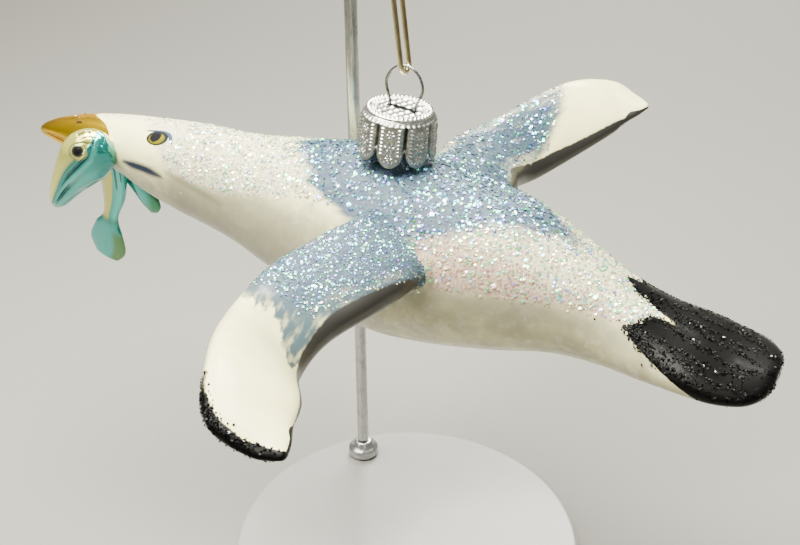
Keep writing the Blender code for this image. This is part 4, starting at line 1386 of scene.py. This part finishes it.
def stand(lacquer, steel):
    """Base, collar, post and ball, each turned to its solid's own box, and an arm of the post's rod."""
    tiny, bevel = 0.02 * MM, 1 * MM
    wide, thick, foot, _ = solid_size("stand_base")
    turned("base_plate", rounded([(tiny, 0), (wide - bevel, 0), (wide, bevel), (wide, thick - bevel),
                                  (wide - bevel, thick), (tiny, thick)], 0.5 * MM),
           160, (0, 0, foot[2]), lacquer, "stand_base")

    wide, tall, foot, _ = solid_size("stand_foot")
    turned("post_collar", rounded([(tiny, 0), (wide, 0), (wide, 0.5 * tall), (0.75 * wide, 0.68 * tall),
                                   (0.55 * wide, tall), (tiny, tall)], 0.35 * MM),
           72, foot, steel, "stand_foot")

    wide, tall, foot, _ = solid_size("stand_post")
    from_middle = np.array([foot[0], foot[1], 0.0])
    turned("post", rounded([(tiny, 0), (wide, 0), (wide, tall), (tiny, tall)], 0.15 * MM),
           48, foot, steel, "stand_post")

    ball, heart = solid_size("stand_elbow")[1] / 2, solid_size("stand_elbow")[3]
    arc = np.radians(np.linspace(-89, 89, 40))
    turned("elbow_ball", np.stack([ball * np.cos(arc), ball * np.sin(arc)], axis=1),
           64, heart, steel, "stand_elbow", sharp=80)

    start, reach, knob = ball + 0.3 * MM, np.linalg.norm(from_middle) + 4 * MM, 1.9 * MM
    arc = np.radians(np.linspace(45, 178, 24))
    rod = rounded([(tiny, start), (wide, start), (wide, reach)], 0.15 * MM)
    knob_end = np.stack([knob * np.sin(arc), reach + knob * (0.75 - np.cos(arc))], axis=1)
    turned("arm", np.vstack([rod, knob_end]), 48, heart, steel, "stand_arm",
           axis=-from_middle / np.linalg.norm(from_middle))


# ---- floor, light and camera

WARM = (1.0, 0.98, 0.88)


def floor():
    """A wide pale floor."""
    coat = Finish("pale floor", Roughness=0.75, Base_Color=(0.205, 0.200, 0.181, 1))
    half = 3.0
    corners = np.array([(-half, -half, 0), (half, -half, 0), (half, half, 0), (-half, half, 0)])
    mesh = build_mesh("floor", corners, np.array([(0, 1, 2, 3)]))
    mesh.materials.append(coat.material)
    put("floor", mesh)


def lamp(name, place, target, size, watts, colour=WARM):
    """A round soft lamp that shines from a place towards a target."""
    data = bpy.data.lights.new(name, "AREA")
    data.shape = "DISK"
    data.size = size
    data.energy = watts
    data.color = colour
    light = put(name, data)
    light.location = place
    light.rotation_euler = (Vector(target) - Vector(place)).to_track_quat("-Z", "Y").to_euler()


def lights():
    """A warm even surround, three soft lamps, and nine small ones that the glitter answers."""
    world = bpy.data.worlds.new("studio")
    world.use_nodes = True
    colour, strength = world.node_tree.nodes["Background"].inputs[:2]
    colour.default_value, strength.default_value = (*WARM, 1), 0.32
    bpy.context.scene.world = world
    middle = (0, 0, 0.07)
    lamp("overhead", (-0.06, -0.04, 0.37), middle, 0.28, 7.4)
    lamp("key", (-0.30, -0.28, 0.45), middle, 0.24, 1.2)
    lamp("back", (-0.15, 0.70, 0.75), (-0.17, 0.65, 0.0), 0.50, 24.0)
    sparks = ((0.15, 0.45, 0.45), (0.45, -0.15, 0.5), (-0.4, 0.2, 0.4), (0.1, -0.45, 0.45),
              (-0.25, -0.5, 0.3), (0.3, 0.2, 0.5), (-0.05, -0.3, 0.6), (-0.5, -0.1, 0.45), (0.4, -0.4, 0.3))
    for number, place in enumerate(sparks):
        lamp(f"spark_{number}", place, middle, 0.03, 0.14, (1, 1, 1))


def camera():
    """The view from the gull's left, a little from behind and above, aimed below the hinge."""
    data = bpy.data.cameras.new("camera")
    data.sensor_width = 36
    data.lens = 44.64
    data.clip_start = 0.005
    view = put("camera", data)
    place = Vector(HINGE) + Vector((76.03, -139.08, 46.70)) * MM
    aim = Vector(HINGE) + Vector((-1.35, 0, -37.39)) * MM
    view.location = place
    tilt = Matrix.Rotation(math.radians(-0.41), 4, "Z")
    view.rotation_euler = ((aim - place).to_track_quat("-Z", "Y").to_matrix().to_4x4() @ tilt).to_euler()
    bpy.context.scene.camera = view


def main():
    camera()
    silver_flake = flake_material("glitter flakes", 0.25)
    black_flake = flake_material("black glitter", 0.42)
    enamel = enamel_material("satin enamel", 0.05, Roughness=0.4, Coat_Weight=0.0, IOR=1.15)
    fish_paint = enamel_material("fish glaze", 0.2, Roughness=0.13, Coat_Weight=0.9, Metallic=0.75)
    wire_steel = metal_material("drawn steel wire", (0.24, 0.24, 0.23), 0.28)
    gilt = metal_material("gilt wire", (0.78, 0.67, 0.38), 0.14)
    satin = metal_material("satin steel", (0.50, 0.50, 0.49), 0.30, grain_scale=5.0, drawn=(1, 1, 0.05))

    skin = gull_skin(painted_glass(brushed_edge_group(), glitter_grain_group()))
    glitter_coat(skin, silver_flake, black_flake)
    head_marks(enamel)
    fish(fish_paint)
    cap(foil_material())
    wires(wire_steel, gilt)
    stand(lacquer_material(), satin)
    floor()
    lights()


main()
